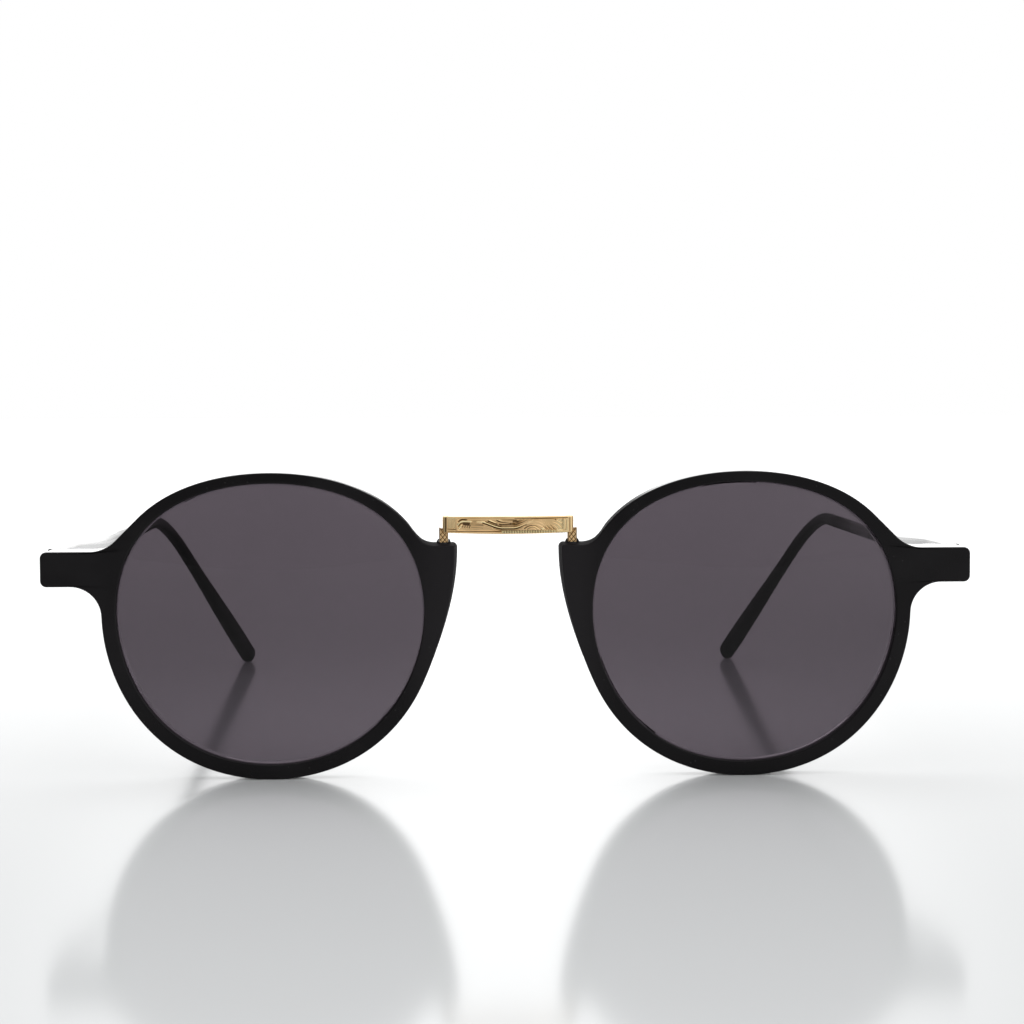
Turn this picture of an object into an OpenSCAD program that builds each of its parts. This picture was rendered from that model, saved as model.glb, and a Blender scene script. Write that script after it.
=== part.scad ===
// Round sunglasses: two moulded black rims, a brass bridge that joins them, and folding temples.
// They stand as on a table, on the bottoms of the rims and the tips of the temples, at z = 0.
// +X is the wearer's left, the front faces -Y and +Z is up. Lengths are in millimetres.
// The left half is drawn, and the right half is its mirror image.

/* [Front] */
// Width of the front, over both endpieces
front_w = 132; // [130:0.5:140]
// Gap between the two lens openings, where they are nearest
lens_gap = 24; // [22:0.5:27]
// Width of a lens opening
lens_w = 43.4; // [41:0.2:45]
// Height of a lens opening
lens_h = 40; // [37:0.2:43]
// How much fuller the opening is above its middle than below
cheek = 0.044; // [0:0.002:0.08]
// How much the round opening is drawn towards a square
square_up = 0.025; // [0:0.001:0.04]
// Depth of the rims, from front to back
rim_depth = 3.4; // [3.1:0.1:4.5]
// Width of the rims at their sides and bottom, seen from the front
rim_side = 2.1; // [1.8:0.05:3]
// Width of the rims at the brow, seen from the front
rim_brow = 1.5; // [1.3:0.05:2.5]
// Radius of the moulded edges
edge_r = 0.2; // [0.14:0.02:0.34]

/* [Lenses] */
// Thickness of a lens
lens_t = 1.8; // [1.5:0.1:2]
// Depth of the groove that holds the lens
groove_depth = 0.55; // [0.4:0.05:0.7]
// How far the edge of the lens lies behind the front of the rim
lens_inset = 0.9; // [0.6:0.05:1]
// How far the middle of a lens bulges forward of its edge
lens_bulge = 0.8; // [0.2:0.05:1.2]
// Clearance between a lens and its groove
lens_play = 0.05; // [0.03:0.01:0.1]

/* [Endpieces] */
// Height of an endpiece and of the front end of a temple
end_h = 4.95; // [4.6:0.05:6]
// Height of the middle of an endpiece above the middle of the lens
end_rise = 8; // [6:0.1:9]
// Depth of an endpiece, from its front to the joint with the temple
end_depth = 6.2; // [5:0.1:7]
// Radius of the outer corners of an endpiece
end_corner = 0.9; // [0.4:0.05:1.2]
// Radius of the blend between the rim and the underside of an endpiece
low_blend = 4.4; // [2:0.1:5]
// Radius of the blend between the rim and the top of an endpiece
high_blend = 5.2; // [2:0.1:6]

/* [Nose] */
// Width between the two nose flanges at their tops
nose_gap = 15.2; // [13:0.1:17]
// Height of the flange tops above the middle of the lens
flange_rise = 11.1; // [9.5:0.1:12]
// Radius of the blend between the rim and the flat flange top
flange_blend = 3; // [0.6:0.1:4]
// How far a nose pad stands back from the rim
pad_depth = 2.6; // [1.5:0.1:3.5]
// How far a nose pad swells towards the nose
pad_swell = 0.6; // [0.2:0.05:0.9]
// How far a nose pad spreads away from the nose at its back
pad_splay = 1.3; // [0.5:0.1:2]

/* [Bridge] */
// Length of the engraved bar of the bridge, over its bent ends
bar_len = 18.6; // [17:0.1:19]
// Height of the bar at its ends
bar_h = 2.3; // [2:0.05:3]
// How far the lower edge of the bar hangs at the middle
bar_belly = 0.2; // [0:0.05:0.5]
// How far the bar bows forward at the middle
bar_bow = 0.5; // [0:0.05:0.5]
// Height of the underside of the bar above the flange tops
bar_rise = 1.8; // [1.4:0.05:2.4]
// Thickness of the brass strap
strap_t = 0.9; // [0.7:0.05:1.1]
// Radius of the bends of the strap, at their outside
strap_bend = 0.5; // [0.3:0.05:0.8]
// Length of the ends of the strap, bent back beside the bar
strap_return = 2.9; // [2.4:0.1:3.2]
// Thickness of the legs of the bridge, seen from the front
leg_w = 1.3; // [1.15:0.05:1.5]
// Depth of the legs of the bridge, from front to back
leg_deep = 1.6; // [1.2:0.1:1.8]
// How far a leg reaches up beside the end of the bar
leg_over = 0.7; // [0.4:0.05:1]
// Height of the lower end of a leg above the flange top
leg_lift = 0.4; // [0.2:0.05:0.6]
// Diameter of the pegs that hold the bridge in the rims
peg_d = 1; // [0.8:0.05:1.1]
// Depth to which a peg goes into its rim
peg_depth = 2.4; // [1.5:0.1:3.5]
// Height of the small bosses round the legs
boss_h = 0.85; // [0.7:0.05:1.1]

/* [Hinges] */
// Radius of a hinge knuckle
knuckle_r = 1.2; // [1.1:0.05:1.4]
// Height of a hinge, over its three knuckles
hinge_h = 4.8; // [4:0.1:4.9]
// Thickness of the leaves of a hinge
leaf_t = 0.8; // [0.6:0.05:1]
// Length of the leaf in an endpiece, from its inner end to the outside of the knuckles
front_leaf = 5.75; // [5:0.05:6.2]
// Length of the leaf in a temple
temple_leaf = 8; // [6:0.5:9]
// Diameter of the hinge screw
screw_d = 1.2; // [1:0.05:1.4]
// Diameter of the head of the hinge screw
head_d = 1.9; // [1.7:0.05:2]
// Height of the head of the hinge screw
head_h = 0.45; // [0.3:0.05:0.6]
// Clearance round the hinge screw
screw_play = 0.05; // [0.03:0.01:0.08]
// Clearance between the faces of neighbouring knuckles
knuckle_play = 0.06; // [0.04:0.01:0.1]
// Clearance between the moving parts of a hinge and what they pass
swing_play = 0.2; // [0.15:0.05:0.3]

/* [Temples] */
// Thickness of a temple at its front end
temple_w = 2.55; // [2.4:0.05:3]
// Clearance between the endpiece and the open temple
butt_play = 0.1; // [0.05:0.01:0.15]
// Distance from the front of the rims to the bend over the ear
arm_len = 100; // [90:1:110]
// How far the arm comes inward on its way to the bend
arm_lean = 3.1; // [0:0.1:6]
// How far the arm climbs on its way to the bend
arm_climb = 0.9; // [-1:0.1:2]
// Height of the slim middle of the arm
arm_h = 2.1; // [2:0.1:3]
// Thickness of the slim middle of the arm
arm_w = 2; // [2:0.1:2.6]
// Distance from the endpiece at which the arm has become slim
arm_taper = 42; // [25:1:60]
// Length of the ear part, from the bend to the middle of its rounded tip
ear_len = 43; // [36:1:50]
// How far the tip lies inward of the bend
ear_lean = 13; // [4:0.5:16]
// Height of the ear part near its tip
tip_h = 3.4; // [2.6:0.1:4.5]
// Thickness of the ear part near its tip
tip_w = 2.5; // [2.2:0.1:3.2]
// Radius of the bend over the ear
bend_r = 24; // [8:1:28]
// Diameter of the steel wire in the core of a temple
wire_d = 1; // [0.8:0.05:1.1]
// Clearance between the wire and its channel
wire_play = 0.05; // [0.03:0.01:0.1]

/* [Hidden] */
$fn = 32;

frame_black = [0.11, 0.105, 0.115];
lens_grey = [0.34, 0.31, 0.34, 0.85];
brass_gold = [0.84, 0.7, 0.43];
hinge_steel = [0.6, 0.6, 0.62];
wire_steel = [0.45, 0.45, 0.48];

// Helpers for points and curves
function unit(v) = v / norm(v);
function mix(a, b, s) = a + (b - a) * s;
function clamp(s) = max(0, min(1, s));
function smooth(s) = let (c = clamp(s)) c * c * (3 - 2 * c);
function across(v) = unit([v[1], -v[0]]);
function meet_z(p, way, z) = p + way * (z - p[1]) / way[1];
function meet_x(p, way, x) = p + way * (x - p[0]) / way[0];
function bezier(a, b, c, s) = mix(mix(a, b, s), mix(b, c, s), s);
function flip(list) = [for (i = [len(list) - 1:-1:0]) list[i]];

// The arc of radius r that rounds the corner at b, as n + 1 points from the side of a to the side of c
function round_corner(a, b, c, r, n) =
    let (
        u = unit(a - b),
        v = unit(c - b),
        half = acos(u * v) / 2,
        reach = min(r / tan(half), 0.95 * norm(a - b), 0.95 * norm(c - b)),
        fit_r = reach * tan(half),
        mid = b + unit(u + v) * fit_r / sin(half),
        p = unit(b + u * reach - mid),
        q = unit(b + v * reach - mid),
        turn = acos(p * q)
    )
    [for (k = [0:n]) mid + fit_r * (p * sin((1 - k / n) * turn) + q * sin(k / n * turn)) / sin(turn)];

// The triangles of a skin over closed rings that all have the same number of points
function band(a, b, count) = [
    for (k = [0:count - 1])
        let (next = (k + 1) % count)
        each [[a + k, b + next, b + k], [a + k, a + next, b + next]]
];
function fan(centre, ring, count) = [for (k = [0:count - 1]) [centre, ring + (k + 1) % count, ring + k]];

// The lens opening, seen from the front: x and z at the angle t, from the temple side and upwards
lens_x = lens_gap / 2 + lens_w / 2;
lens_z = rim_side + lens_h / 2;
open_a = lens_w / 2 / (1 + 2 * cheek * cheek);
open_b = lens_h / 2 / (1 - square_up);
function open_at(t) = [
    lens_x + open_a * (cos(t) + cheek * sin(2 * t)),
    lens_z + open_b * (sin(t) + square_up * sin(3 * t))
];
function open_way(t) = [
    open_a * (-sin(t) + 2 * cheek * cos(2 * t)),
    open_b * (cos(t) + 3 * square_up * cos(3 * t))
];
function open_out(t) = across(open_way(t));

// The outer edge of the plain ring, which is slimmer at the brow
function rim_w(t) = rim_side - (rim_side - rim_brow) * pow(max(0, sin(t)), 2);
function ring_at(t) = open_at(t) + rim_w(t) * open_out(t);
function ring_way(t) = unit(ring_at(t + 1) - ring_at(t - 1));

// Angles at which the endpiece and the nose flange leave the ring
end_from = 3;
end_to = 41;
nose_from = 146;
nose_to = 200;
brow_steps = 17;
cheek_steps = 28;

// The outline of the endpiece, from the ring below it to the ring above it
end_x = front_w / 2;
end_z = lens_z + end_rise;
end_low = end_z - end_h / 2;
end_high = end_z + end_h / 2;
end_low_root = meet_z(ring_at(end_from), ring_way(end_from), end_low);
end_high_root = meet_z(ring_at(end_to), ring_way(end_to), end_high);
end_path = concat(
    [ring_at(end_from)],
    round_corner(ring_at(end_from), end_low_root, [end_x, end_low], low_blend, 5),
    round_corner(end_low_root, [end_x, end_low], [end_x, end_high], end_corner, 3),
    round_corner([end_x, end_low], [end_x, end_high], end_high_root, end_corner, 3),
    round_corner([end_x, end_high], end_high_root, ring_at(end_to), high_blend, 5),
    [ring_at(end_to)]
);

// The outline of the nose flange, from the ring above it to the ring below it
nose_x = nose_gap / 2;
flange_z = lens_z + flange_rise;
flange_corner = edge_r + 0.1;
flange_root = meet_z(ring_at(nose_from), ring_way(nose_from), flange_z);
flange_tip = [nose_x, flange_z];
nose_start = flange_tip - [0, flange_corner];
nose_turn = meet_x(ring_at(nose_to), ring_way(nose_to), nose_x);
nose_steps = 7;
nose_path = concat(
    [ring_at(nose_from)],
    round_corner(ring_at(nose_from), flange_root, flange_tip, flange_blend, 3),
    round_corner(flange_root, flange_tip, nose_turn, flange_corner, 2),
    [for (k = [1:nose_steps]) bezier(nose_start, nose_turn, ring_at(nose_to), k / nose_steps)]
);

// Each station round a rim: the angle in the opening, and the outer point that it goes with
function spread(from, to, path) =
    [for (i = [0:len(path) - 1]) [mix(from, to, i / (len(path) - 1)), path[i]]];
function plain(from, to, steps) =
    [for (i = [1:steps - 1]) let (t = mix(from, to, i / steps)) [t, ring_at(t)]];
stations = concat(
    spread(end_from, end_to, end_path),
    plain(end_to, nose_from, brow_steps),
    spread(nose_from, nose_to, nose_path),
    plain(nose_to, end_from + 360, cheek_steps)
);
station_count = len(stations);
function outer_way(i) =
    stations[(i + 1) % station_count][1] - stations[(i + station_count - 1) % station_count][1];

// Where the rim grows backward, into the endpiece and the nose pad
blend_angle = 10;
function end_share(t) = smooth((t - end_from) / blend_angle) * smooth((end_to - t) / blend_angle);
pad_from = nose_from - 4;
pad_to = nose_to - 2;
pad_ramp = 20;
function pad_share(t) = smooth((t - pad_from) / pad_ramp) * smooth((pad_to - t) / pad_ramp);

// The groove for the lens: where it is deepest, and half its width at the opening
groove_y = lens_inset + lens_t / 2;
groove_half = lens_t / 2 - 0.25;

// Shares of the rim's width at which its back starts to rise, and at which the rise ends
foot_share = 0.5;
foot_grow = 0.45;
top_share = 0.7;
shoulder = 0.9;
least_land = 0.15;

// One section through the rim. The front is at y = 0
function rim_section(i) =
    let (
        t = stations[i][0],
        p = open_at(t),
        n = open_out(t),
        q = stations[i][1],
        m = across(outer_way(i)),
        along = unit(q - p),
        span = norm(q - p),
        lug = end_share(t),
        pad = pad_share(t),
        grow = max(lug, pad),
        back = rim_depth + lug * (end_depth - rim_depth) + pad * pad_depth,
        w = rim_w(t),
        foot = w * (foot_share + foot_grow * grow),
        rise_end = w * top_share + grow * (w * (1 - top_share) + shoulder),
        top = min(rise_end, span - edge_r - pad * pad_splay - least_land),
        bevel = edge_r * (1 - sqrt(0.5)),
        wall = [
            for (f = [1, 2 / 3, 1 / 3, 0])
                let (swell = 4 * pad_swell * f * (1 - f) - pad_splay * f * f)
                [q + m * pad * swell, mix(edge_r, back - edge_r, f)]
        ],
        back_q = wall[0][0]
    )
    [
        for (e = concat(
            [
                [p + n * edge_r, 0],
                [p, edge_r],
                [p, groove_y - groove_half],
                [p + n * groove_depth, groove_y],
                [p, groove_y + groove_half],
                [p, rim_depth - edge_r],
                [p + n * edge_r, rim_depth],
                [p + along * foot, rim_depth],
                [p + along * top, back],
                [back_q - m * edge_r, back],
                [back_q - m * bevel, back - bevel]
            ],
            wall,
            [
                [q - m * bevel, bevel],
                [q - m * edge_r, 0]
            ]
        ))
            [e[0][0], e[1], e[0][1]]
    ];

// Closed tube of sections round a loop
module ring_skin(sections) {
    count = len(sections[0]);
    rings = len(sections);
    polyhedron(
        points = [for (s = sections) each s],
        faces = [for (i = [0:rings - 1]) each band(i * count, ((i + 1) % rings) * count, count)]
    );
}

// The path of a temple and its sections
butt_y = end_depth + butt_play;
temple_x = end_x - temple_w / 2;
arm_root_len = temple_leaf + 1;
ear_z = end_z + arm_climb;
tip_z = tip_h / 2;
ear_drop = ear_z - tip_z;
ear_reach = sqrt(ear_len * ear_len - ear_drop * ear_drop - ear_lean * ear_lean);
arm_start = [temple_x, butt_y, end_z];
arm_root = [temple_x, butt_y + arm_root_len, end_z];
ear_bend = [temple_x - arm_lean, arm_len, ear_z];
tip_mid = ear_bend + [-ear_lean, ear_reach, -ear_drop];
bend_arc = round_corner(arm_root, ear_bend, tip_mid, bend_r, 9);
ear_way = unit(tip_mid - ear_bend);

// Each stop along a temple: its place, height, thickness and corner radius
full_len = 4;
slim_r = arm_w / 2 - 0.1;
cap_r = tip_w / 2 - 0.05;
function arm_stop(p) =
    let (s = smooth((p[1] - butt_y - full_len) / (arm_taper - full_len)))
    [p, mix(end_h, arm_h, s), mix(temple_w, arm_w, s), mix(edge_r + 0.1, slim_r, s)];
function ear_stop(s) =
    [
        mix(bend_arc[len(bend_arc) - 1], tip_mid, s),
        mix(arm_h, tip_h, smooth(s * 1.1)), mix(arm_w, tip_w, smooth(s * 1.1)),
        mix(slim_r, cap_r, s)
    ];
function cap_stop(a) = [tip_mid + ear_way * tip_z * sin(a), tip_h * cos(a), tip_w * cos(a), cap_r * cos(a)];
arm_shares = [0.04, 0.1, 0.17, 0.25, 0.35, 0.45, 0.65];
temple_stops = concat(
    [arm_stop(arm_start), arm_stop(arm_root)],
    [for (s = arm_shares) arm_stop(mix(arm_root, bend_arc[0], s))],
    [for (p = bend_arc) arm_stop(p)],
    [for (s = [0.2, 0.4, 0.6, 0.8]) ear_stop(s)],
    [for (a = [0, 25, 50, 68, 80]) cap_stop(a)]
);
stop_count = len(temple_stops);
function stop_way(i) =
    i == 0 ? [0, 1, 0]
    : i == stop_count - 1 ? ear_way
    : unit(temple_stops[i + 1][0] - temple_stops[i - 1][0]);
// Upright and sideways directions, square to the way of the temple
function stop_up(i) = let (w = stop_way(i)) unit([0, 0, 1] - w * w[2]);
function stop_side(i) = cross(stop_way(i), stop_up(i));

corner_steps = 2;
sides = 4 * (corner_steps + 1);
function oblong(w, h, r) = [
    for (c = [[1, 1, 0], [-1, 1, 90], [-1, -1, 180], [1, -1, 270]])
        for (k = [0:corner_steps])
            let (a = c[2] + 90 * k / corner_steps)
            [c[0] * (w / 2 - r) + r * cos(a), c[1] * (h / 2 - r) + r * sin(a)]
];
function placed(i, shape) =
    [for (q = shape) temple_stops[i][0] + stop_side(i) * q[0] + stop_up(i) * q[1]];
function temple_ring(i) =
    let (s = temple_stops[i]) placed(i, oblong(s[2], s[1], s[3]));
function round_ring(i, d) =
    placed(i, [for (k = [0:sides - 1]) let (a = 45 + 360 * (k - 1) / sides) [cos(a), sin(a)] * d / 2]);

temple_end = temple_stops[stop_count - 1][0] + ear_way * 0.05;
total_depth = max([for (i = [stop_count - 6:stop_count - 1]) each [for (p = temple_ring(i)) p[1]]]);
front_y = -total_depth / 2;

// The last stop of the channel for the wire. The wire lies one stop short of it, and starts behind the leaf
wire_last = stop_count - 7;

module left_half() translate([0, front_y, 0]) children();
module right_half() mirror([1, 0, 0]) left_half() children();

// Hinge places
hinge_x = end_x - temple_w - swing_play - knuckle_r;
hinge_y = end_depth + swing_play + knuckle_r;
inner_x = end_x - temple_w;
leaf_from = hinge_x + knuckle_r - front_leaf;
leaf_margin = 0.7;
leaf_h = hinge_h - 2 * leaf_margin;
leaf_set = 0.2;
web_share = 0.85;
knuckle_h = (hinge_h - 2 * knuckle_play) / 3;
hinge_low = end_z - hinge_h / 2;
hinge_high = end_z + hinge_h / 2;
anchor = [1.2, 1, 2];
anchor_set = 1.55;
anchor_x = leaf_from + anchor_set;
leaf_play = 0.03;
root_inset = 0.1;
slot = [0.24, 0.2];

// Bridge places
leg_set = 0.15;
leg_x = bar_len / 2 - leg_set;
leg_y = rim_depth / 2;
leg_inner_over = 0.15;
bar_low = flange_z + bar_rise;
leg_low = flange_z + leg_lift;
boss_sink = 0.6;
boss_foot_r = 1.4;
boss_top_r = 0.85;
peg_play = 0.03;
peg_end_play = 0.1;

module rim() {
    difference() {
        union() {
            ring_skin([for (i = [0:station_count - 1]) rim_section(i)]);
            translate([leg_x, leg_y, flange_z - boss_sink])
                cylinder(h = boss_h + boss_sink, r1 = boss_foot_r, r2 = boss_top_r);
        }
        // Bore for the peg of the bridge, and the slot across the boss for its leg
        translate([leg_x, leg_y, flange_z - peg_depth - peg_end_play])
            cylinder(h = peg_depth + boss_h + 1, d = peg_d + 2 * peg_play);
        translate([leg_x - leg_w / 2 - peg_play, leg_y - boss_foot_r - 1, leg_low - peg_play])
            cube([leg_w + 2 * peg_play, 2 * boss_foot_r + 2, boss_h]);
        // Seat for the leaf and the anchor of the hinge
        translate([leaf_from - leaf_play, end_depth - leaf_t, end_z - leaf_h / 2 - leaf_play])
            cube([front_leaf + 2 * leaf_play, leaf_t + 1, leaf_h + 2 * leaf_play]);
        translate([anchor_x, end_depth - leaf_t - anchor[1], end_z - anchor[2] / 2 - leaf_play])
            cube([anchor[0] + 2 * leaf_play, anchor[1] + 0.5, anchor[2] + 2 * leaf_play]);
    }
}
module left_rim() color(frame_black) left_half() rim();
module right_rim() color(frame_black) right_half() rim();

// A lens: its bevelled edge follows the groove, and both faces bulge forward
lens_shares = [0.5, 0.8];
function lens_ring(drop, y) = [
    for (s = stations)
        let (p = open_at(s[0]) + open_out(s[0]) * drop)
        [p[0], y, p[1]]
];
function lens_face(share, y) = [
    for (s = stations)
        let (p = mix([lens_x, lens_z], open_at(s[0]) - open_out(s[0]) * lens_play, share))
        [p[0], y - lens_bulge * (1 - share * share), p[1]]
];
module lens() {
    front = lens_inset;
    back = lens_inset + lens_t;
    rings = concat(
        [for (s = lens_shares) lens_face(s, front)],
        [
            lens_ring(-lens_play, front),
            lens_ring(-lens_play, groove_y - groove_half),
            lens_ring(groove_depth - 2 * lens_play, groove_y),
            lens_ring(-lens_play, groove_y + groove_half),
            lens_ring(-lens_play, back)
        ],
        [for (s = flip(lens_shares)) lens_face(s, back)]
    );
    last = (len(rings) - 1) * station_count;
    front_mid = len(rings) * station_count;
    polyhedron(
        points = concat(
            [for (r = rings) each r],
            [[lens_x, front - lens_bulge, lens_z], [lens_x, back - lens_bulge, lens_z]]
        ),
        faces = concat(
            fan(front_mid, 0, station_count),
            [
                for (i = [0:len(rings) - 2])
                    each band(i * station_count, (i + 1) * station_count, station_count)
            ],
            [for (f = fan(front_mid + 1, last, station_count)) flip(f)]
        )
    );
}
module left_lens() color(lens_grey) left_half() lens();
module right_lens() color(lens_grey) right_half() lens();

// The bridge: one strap, engraved at the front, with its ends bent back and down into the rims
function bar_y(x) = bar_bow * pow(2 * x / bar_len, 2);
module strap_plan() {
    half = bar_len / 2;
    steps = 10;
    flat = half - strap_bend - 0.1;
    inside = half - strap_t;
    end_y = bar_bow + strap_return;
    front = [for (k = [-steps:steps]) [flat * k / steps, bar_y(flat * k / steps)]];
    back = [for (k = [steps:-1:-steps]) let (x = inside * k / steps) [x, bar_y(x) + strap_t]];
    turn = round_corner([half - 1, bar_y(half - 1)], [half, bar_bow], [half, end_y], strap_bend, 4);
    polygon(concat(
        front,
        turn,
        [[half, end_y], [inside, end_y]],
        back,
        [[-inside, end_y], [-half, end_y]],
        [for (p = flip(turn)) [-p[0], p[1]]]
    ));
}
module bar_front() {
    half = bar_len / 2 + 1;
    steps = 12;
    polygon(concat(
        [[half, bar_low + bar_h], [-half, bar_low + bar_h]],
        [
            for (k = [-steps:steps])
                let (s = k / steps)
                [half * s, bar_low - bar_belly * (1 - s * s)]
        ]
    ));
}
// A leg seen from the front. Its top slants up to the outside, where the strap is folded over
module leg_front() polygon([
    [-leg_w / 2, leg_low],
    [leg_w / 2, leg_low],
    [leg_w / 2, bar_low + leg_over],
    [-leg_w / 2, bar_low + leg_inner_over]
]);
module bridge() color(brass_gold) translate([0, front_y, 0]) {
    deep = bar_bow + strap_return + 1;
    intersection() {
        linear_extrude(height = bar_low + bar_h + 1) strap_plan();
        translate([0, deep, 0]) rotate([90, 0, 0]) linear_extrude(height = deep + 1) bar_front();
    }
    for (side = [0, 1]) mirror([side, 0, 0]) translate([leg_x, leg_y, 0]) {
        translate([0, leg_deep / 2, 0]) rotate([90, 0, 0]) linear_extrude(height = leg_deep) leg_front();
        translate([0, 0, flange_z - peg_depth]) cylinder(h = peg_depth + leg_lift + 1, d = peg_d);
    }
}

// A knuckle with its web, which reaches from the axis to the leaf
module knuckle(low, web_size, web_at) {
    translate([hinge_x, hinge_y, low]) cylinder(h = knuckle_h, r = knuckle_r);
    translate([web_at[0], web_at[1], low]) cube([web_size[0], web_size[1], knuckle_h]);
}
module screw_bore() {
    translate([hinge_x, hinge_y, hinge_low - 1]) cylinder(h = hinge_h + 2, d = screw_d + 2 * screw_play);
}
module front_hinge() {
    web = [2 * knuckle_r * web_share, hinge_y - end_depth - leaf_play];
    root_h = knuckle_h - leaf_margin - root_inset;
    difference() {
        union() {
            translate([leaf_from, end_depth - leaf_t, end_z - leaf_h / 2])
                cube([front_leaf, leaf_t, leaf_h]);
            translate([anchor_x + leaf_play, end_depth - leaf_t - anchor[1] + leaf_play, 0])
                translate([0, 0, end_z - anchor[2] / 2])
                cube([anchor[0], anchor[1] + 0.1, anchor[2]]);
            for (low = [hinge_low, hinge_high - knuckle_h])
                knuckle(low, web, [hinge_x - web[0] / 2, end_depth + leaf_play]);
            // Roots of the webs, no higher than the leaf
            for (low = [hinge_low + leaf_margin + root_inset, hinge_high - knuckle_h])
                translate([hinge_x - web[0] / 2, end_depth - leaf_t / 2, low])
                cube([web[0], leaf_t, root_h]);
        }
        screw_bore();
        translate([hinge_x, hinge_y, hinge_high - head_h])
            cylinder(h = head_h + 1, d = head_d + 2 * screw_play);
    }
}
module left_front_hinge() color(hinge_steel) left_half() front_hinge();
module right_front_hinge() color(hinge_steel) right_half() front_hinge();

module temple_hinge() {
    web = [inner_x - hinge_x + leaf_t / 2, 2 * knuckle_r * web_share];
    difference() {
        union() {
            knuckle(end_z - knuckle_h / 2, web, [hinge_x, hinge_y - web[1] / 2]);
            translate([inner_x, butt_y + leaf_set, end_z - leaf_h / 2])
                cube([leaf_t, temple_leaf, leaf_h]);
        }
        screw_bore();
    }
}
module left_temple_hinge() color(hinge_steel) left_half() temple_hinge();
module right_temple_hinge() color(hinge_steel) right_half() temple_hinge();

module hinge_screw() {
    difference() {
        translate([hinge_x, hinge_y, 0]) {
            translate([0, 0, hinge_low]) cylinder(h = hinge_h - 0.1, d = screw_d);
            translate([0, 0, hinge_high - head_h]) cylinder(h = head_h, d = head_d);
        }
        translate([hinge_x - head_d, hinge_y - slot[0] / 2, hinge_high - slot[1]])
            cube([2 * head_d, slot[0], 1]);
    }
}
module left_hinge_screw() color(hinge_steel) left_half() hinge_screw();
module right_hinge_screw() color(hinge_steel) right_half() hinge_screw();

// A temple, with the channel for its wire open at the front end
module temple_skin() {
    outer = [for (i = [0:stop_count - 1]) each temple_ring(i)];
    inner = [for (i = [0:wire_last]) each round_ring(i, wire_d + 2 * wire_play)];
    inner_from = len(outer);
    last_inner = inner_from + wire_last * sides;
    centres = inner_from + len(inner);
    polyhedron(
        points = concat(
            outer,
            inner,
            [temple_end, temple_stops[wire_last][0]]
        ),
        faces = concat(
            [for (i = [0:stop_count - 2]) each band(i * sides, (i + 1) * sides, sides)],
            [for (f = fan(centres, (stop_count - 1) * sides, sides)) flip(f)],
            [for (f = band(0, inner_from, sides)) flip(f)],
            [
                for (i = [0:wire_last - 1])
                    each [
                        for (f = band(inner_from + i * sides, inner_from + (i + 1) * sides, sides)) flip(f)
                    ]
            ],
            fan(centres + 1, last_inner, sides)
        )
    );
}
module temple() {
    difference() {
        temple_skin();
        translate([inner_x - 1, butt_y - 1, end_z - leaf_h / 2 - leaf_play])
            cube([1 + leaf_t + leaf_play, 1 + leaf_set + temple_leaf + leaf_play, leaf_h + 2 * leaf_play]);
    }
}
module left_temple() color(frame_black) left_half() temple();
module right_temple() color(frame_black) right_half() temple();

module core_wire() {
    rings = [for (i = [1:wire_last - 1]) round_ring(i, wire_d)];
    last = (len(rings) - 1) * sides;
    ends = len(rings) * sides;
    polyhedron(
        points = concat([for (r = rings) each r], [temple_stops[1][0], temple_stops[wire_last - 1][0]]),
        faces = concat(
            fan(ends, 0, sides),
            [for (i = [0:len(rings) - 2]) each band(i * sides, (i + 1) * sides, sides)],
            [for (f = fan(ends + 1, last, sides)) flip(f)]
        )
    );
}
module left_core_wire() color(wire_steel) left_half() core_wire();
module right_core_wire() color(wire_steel) right_half() core_wire();

right_rim();
left_rim();
right_lens();
left_lens();
bridge();
right_front_hinge();
left_front_hinge();
right_hinge_screw();
left_hinge_screw();
right_temple_hinge();
left_temple_hinge();
right_temple();
left_temple();
right_core_wire();
left_core_wire();
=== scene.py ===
# %% [markdown]
# Round sunglasses on a white studio table
#
# Two moulded black rims hold smoke-grey lenses, an engraved brass bar joins the rims over the nose, and two
# slim black temples fold on small steel hinges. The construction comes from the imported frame, and this file
# gives every surface its look. Lengths are in millimetres in the functions and become metres in the meshes.

# %% Load the frame
import math

import bmesh
import bpy
import numpy as np
from mathutils import Matrix, Vector


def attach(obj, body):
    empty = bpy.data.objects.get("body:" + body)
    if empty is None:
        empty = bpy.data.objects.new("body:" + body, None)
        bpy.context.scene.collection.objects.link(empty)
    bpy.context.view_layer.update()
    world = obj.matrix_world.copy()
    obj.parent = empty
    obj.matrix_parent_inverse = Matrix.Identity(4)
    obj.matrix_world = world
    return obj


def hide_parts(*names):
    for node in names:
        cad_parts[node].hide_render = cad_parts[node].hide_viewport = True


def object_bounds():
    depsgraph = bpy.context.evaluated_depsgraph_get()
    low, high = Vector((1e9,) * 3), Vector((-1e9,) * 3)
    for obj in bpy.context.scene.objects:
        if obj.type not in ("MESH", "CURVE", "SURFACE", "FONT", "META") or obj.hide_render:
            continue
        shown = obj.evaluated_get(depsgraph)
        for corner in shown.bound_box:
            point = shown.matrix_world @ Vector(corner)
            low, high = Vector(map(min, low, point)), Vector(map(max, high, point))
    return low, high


MM = 0.001
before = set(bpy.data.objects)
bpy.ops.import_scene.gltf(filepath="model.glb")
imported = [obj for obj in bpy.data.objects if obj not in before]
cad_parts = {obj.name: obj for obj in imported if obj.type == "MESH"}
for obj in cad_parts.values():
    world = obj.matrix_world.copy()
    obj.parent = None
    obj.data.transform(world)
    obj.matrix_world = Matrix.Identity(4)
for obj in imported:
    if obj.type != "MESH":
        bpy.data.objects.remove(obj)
cad_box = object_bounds()
front_y = cad_box[0].y / MM
print("pieces in the frame:", len(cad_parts), "front plane at", round(front_y, 3), "mm")

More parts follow.
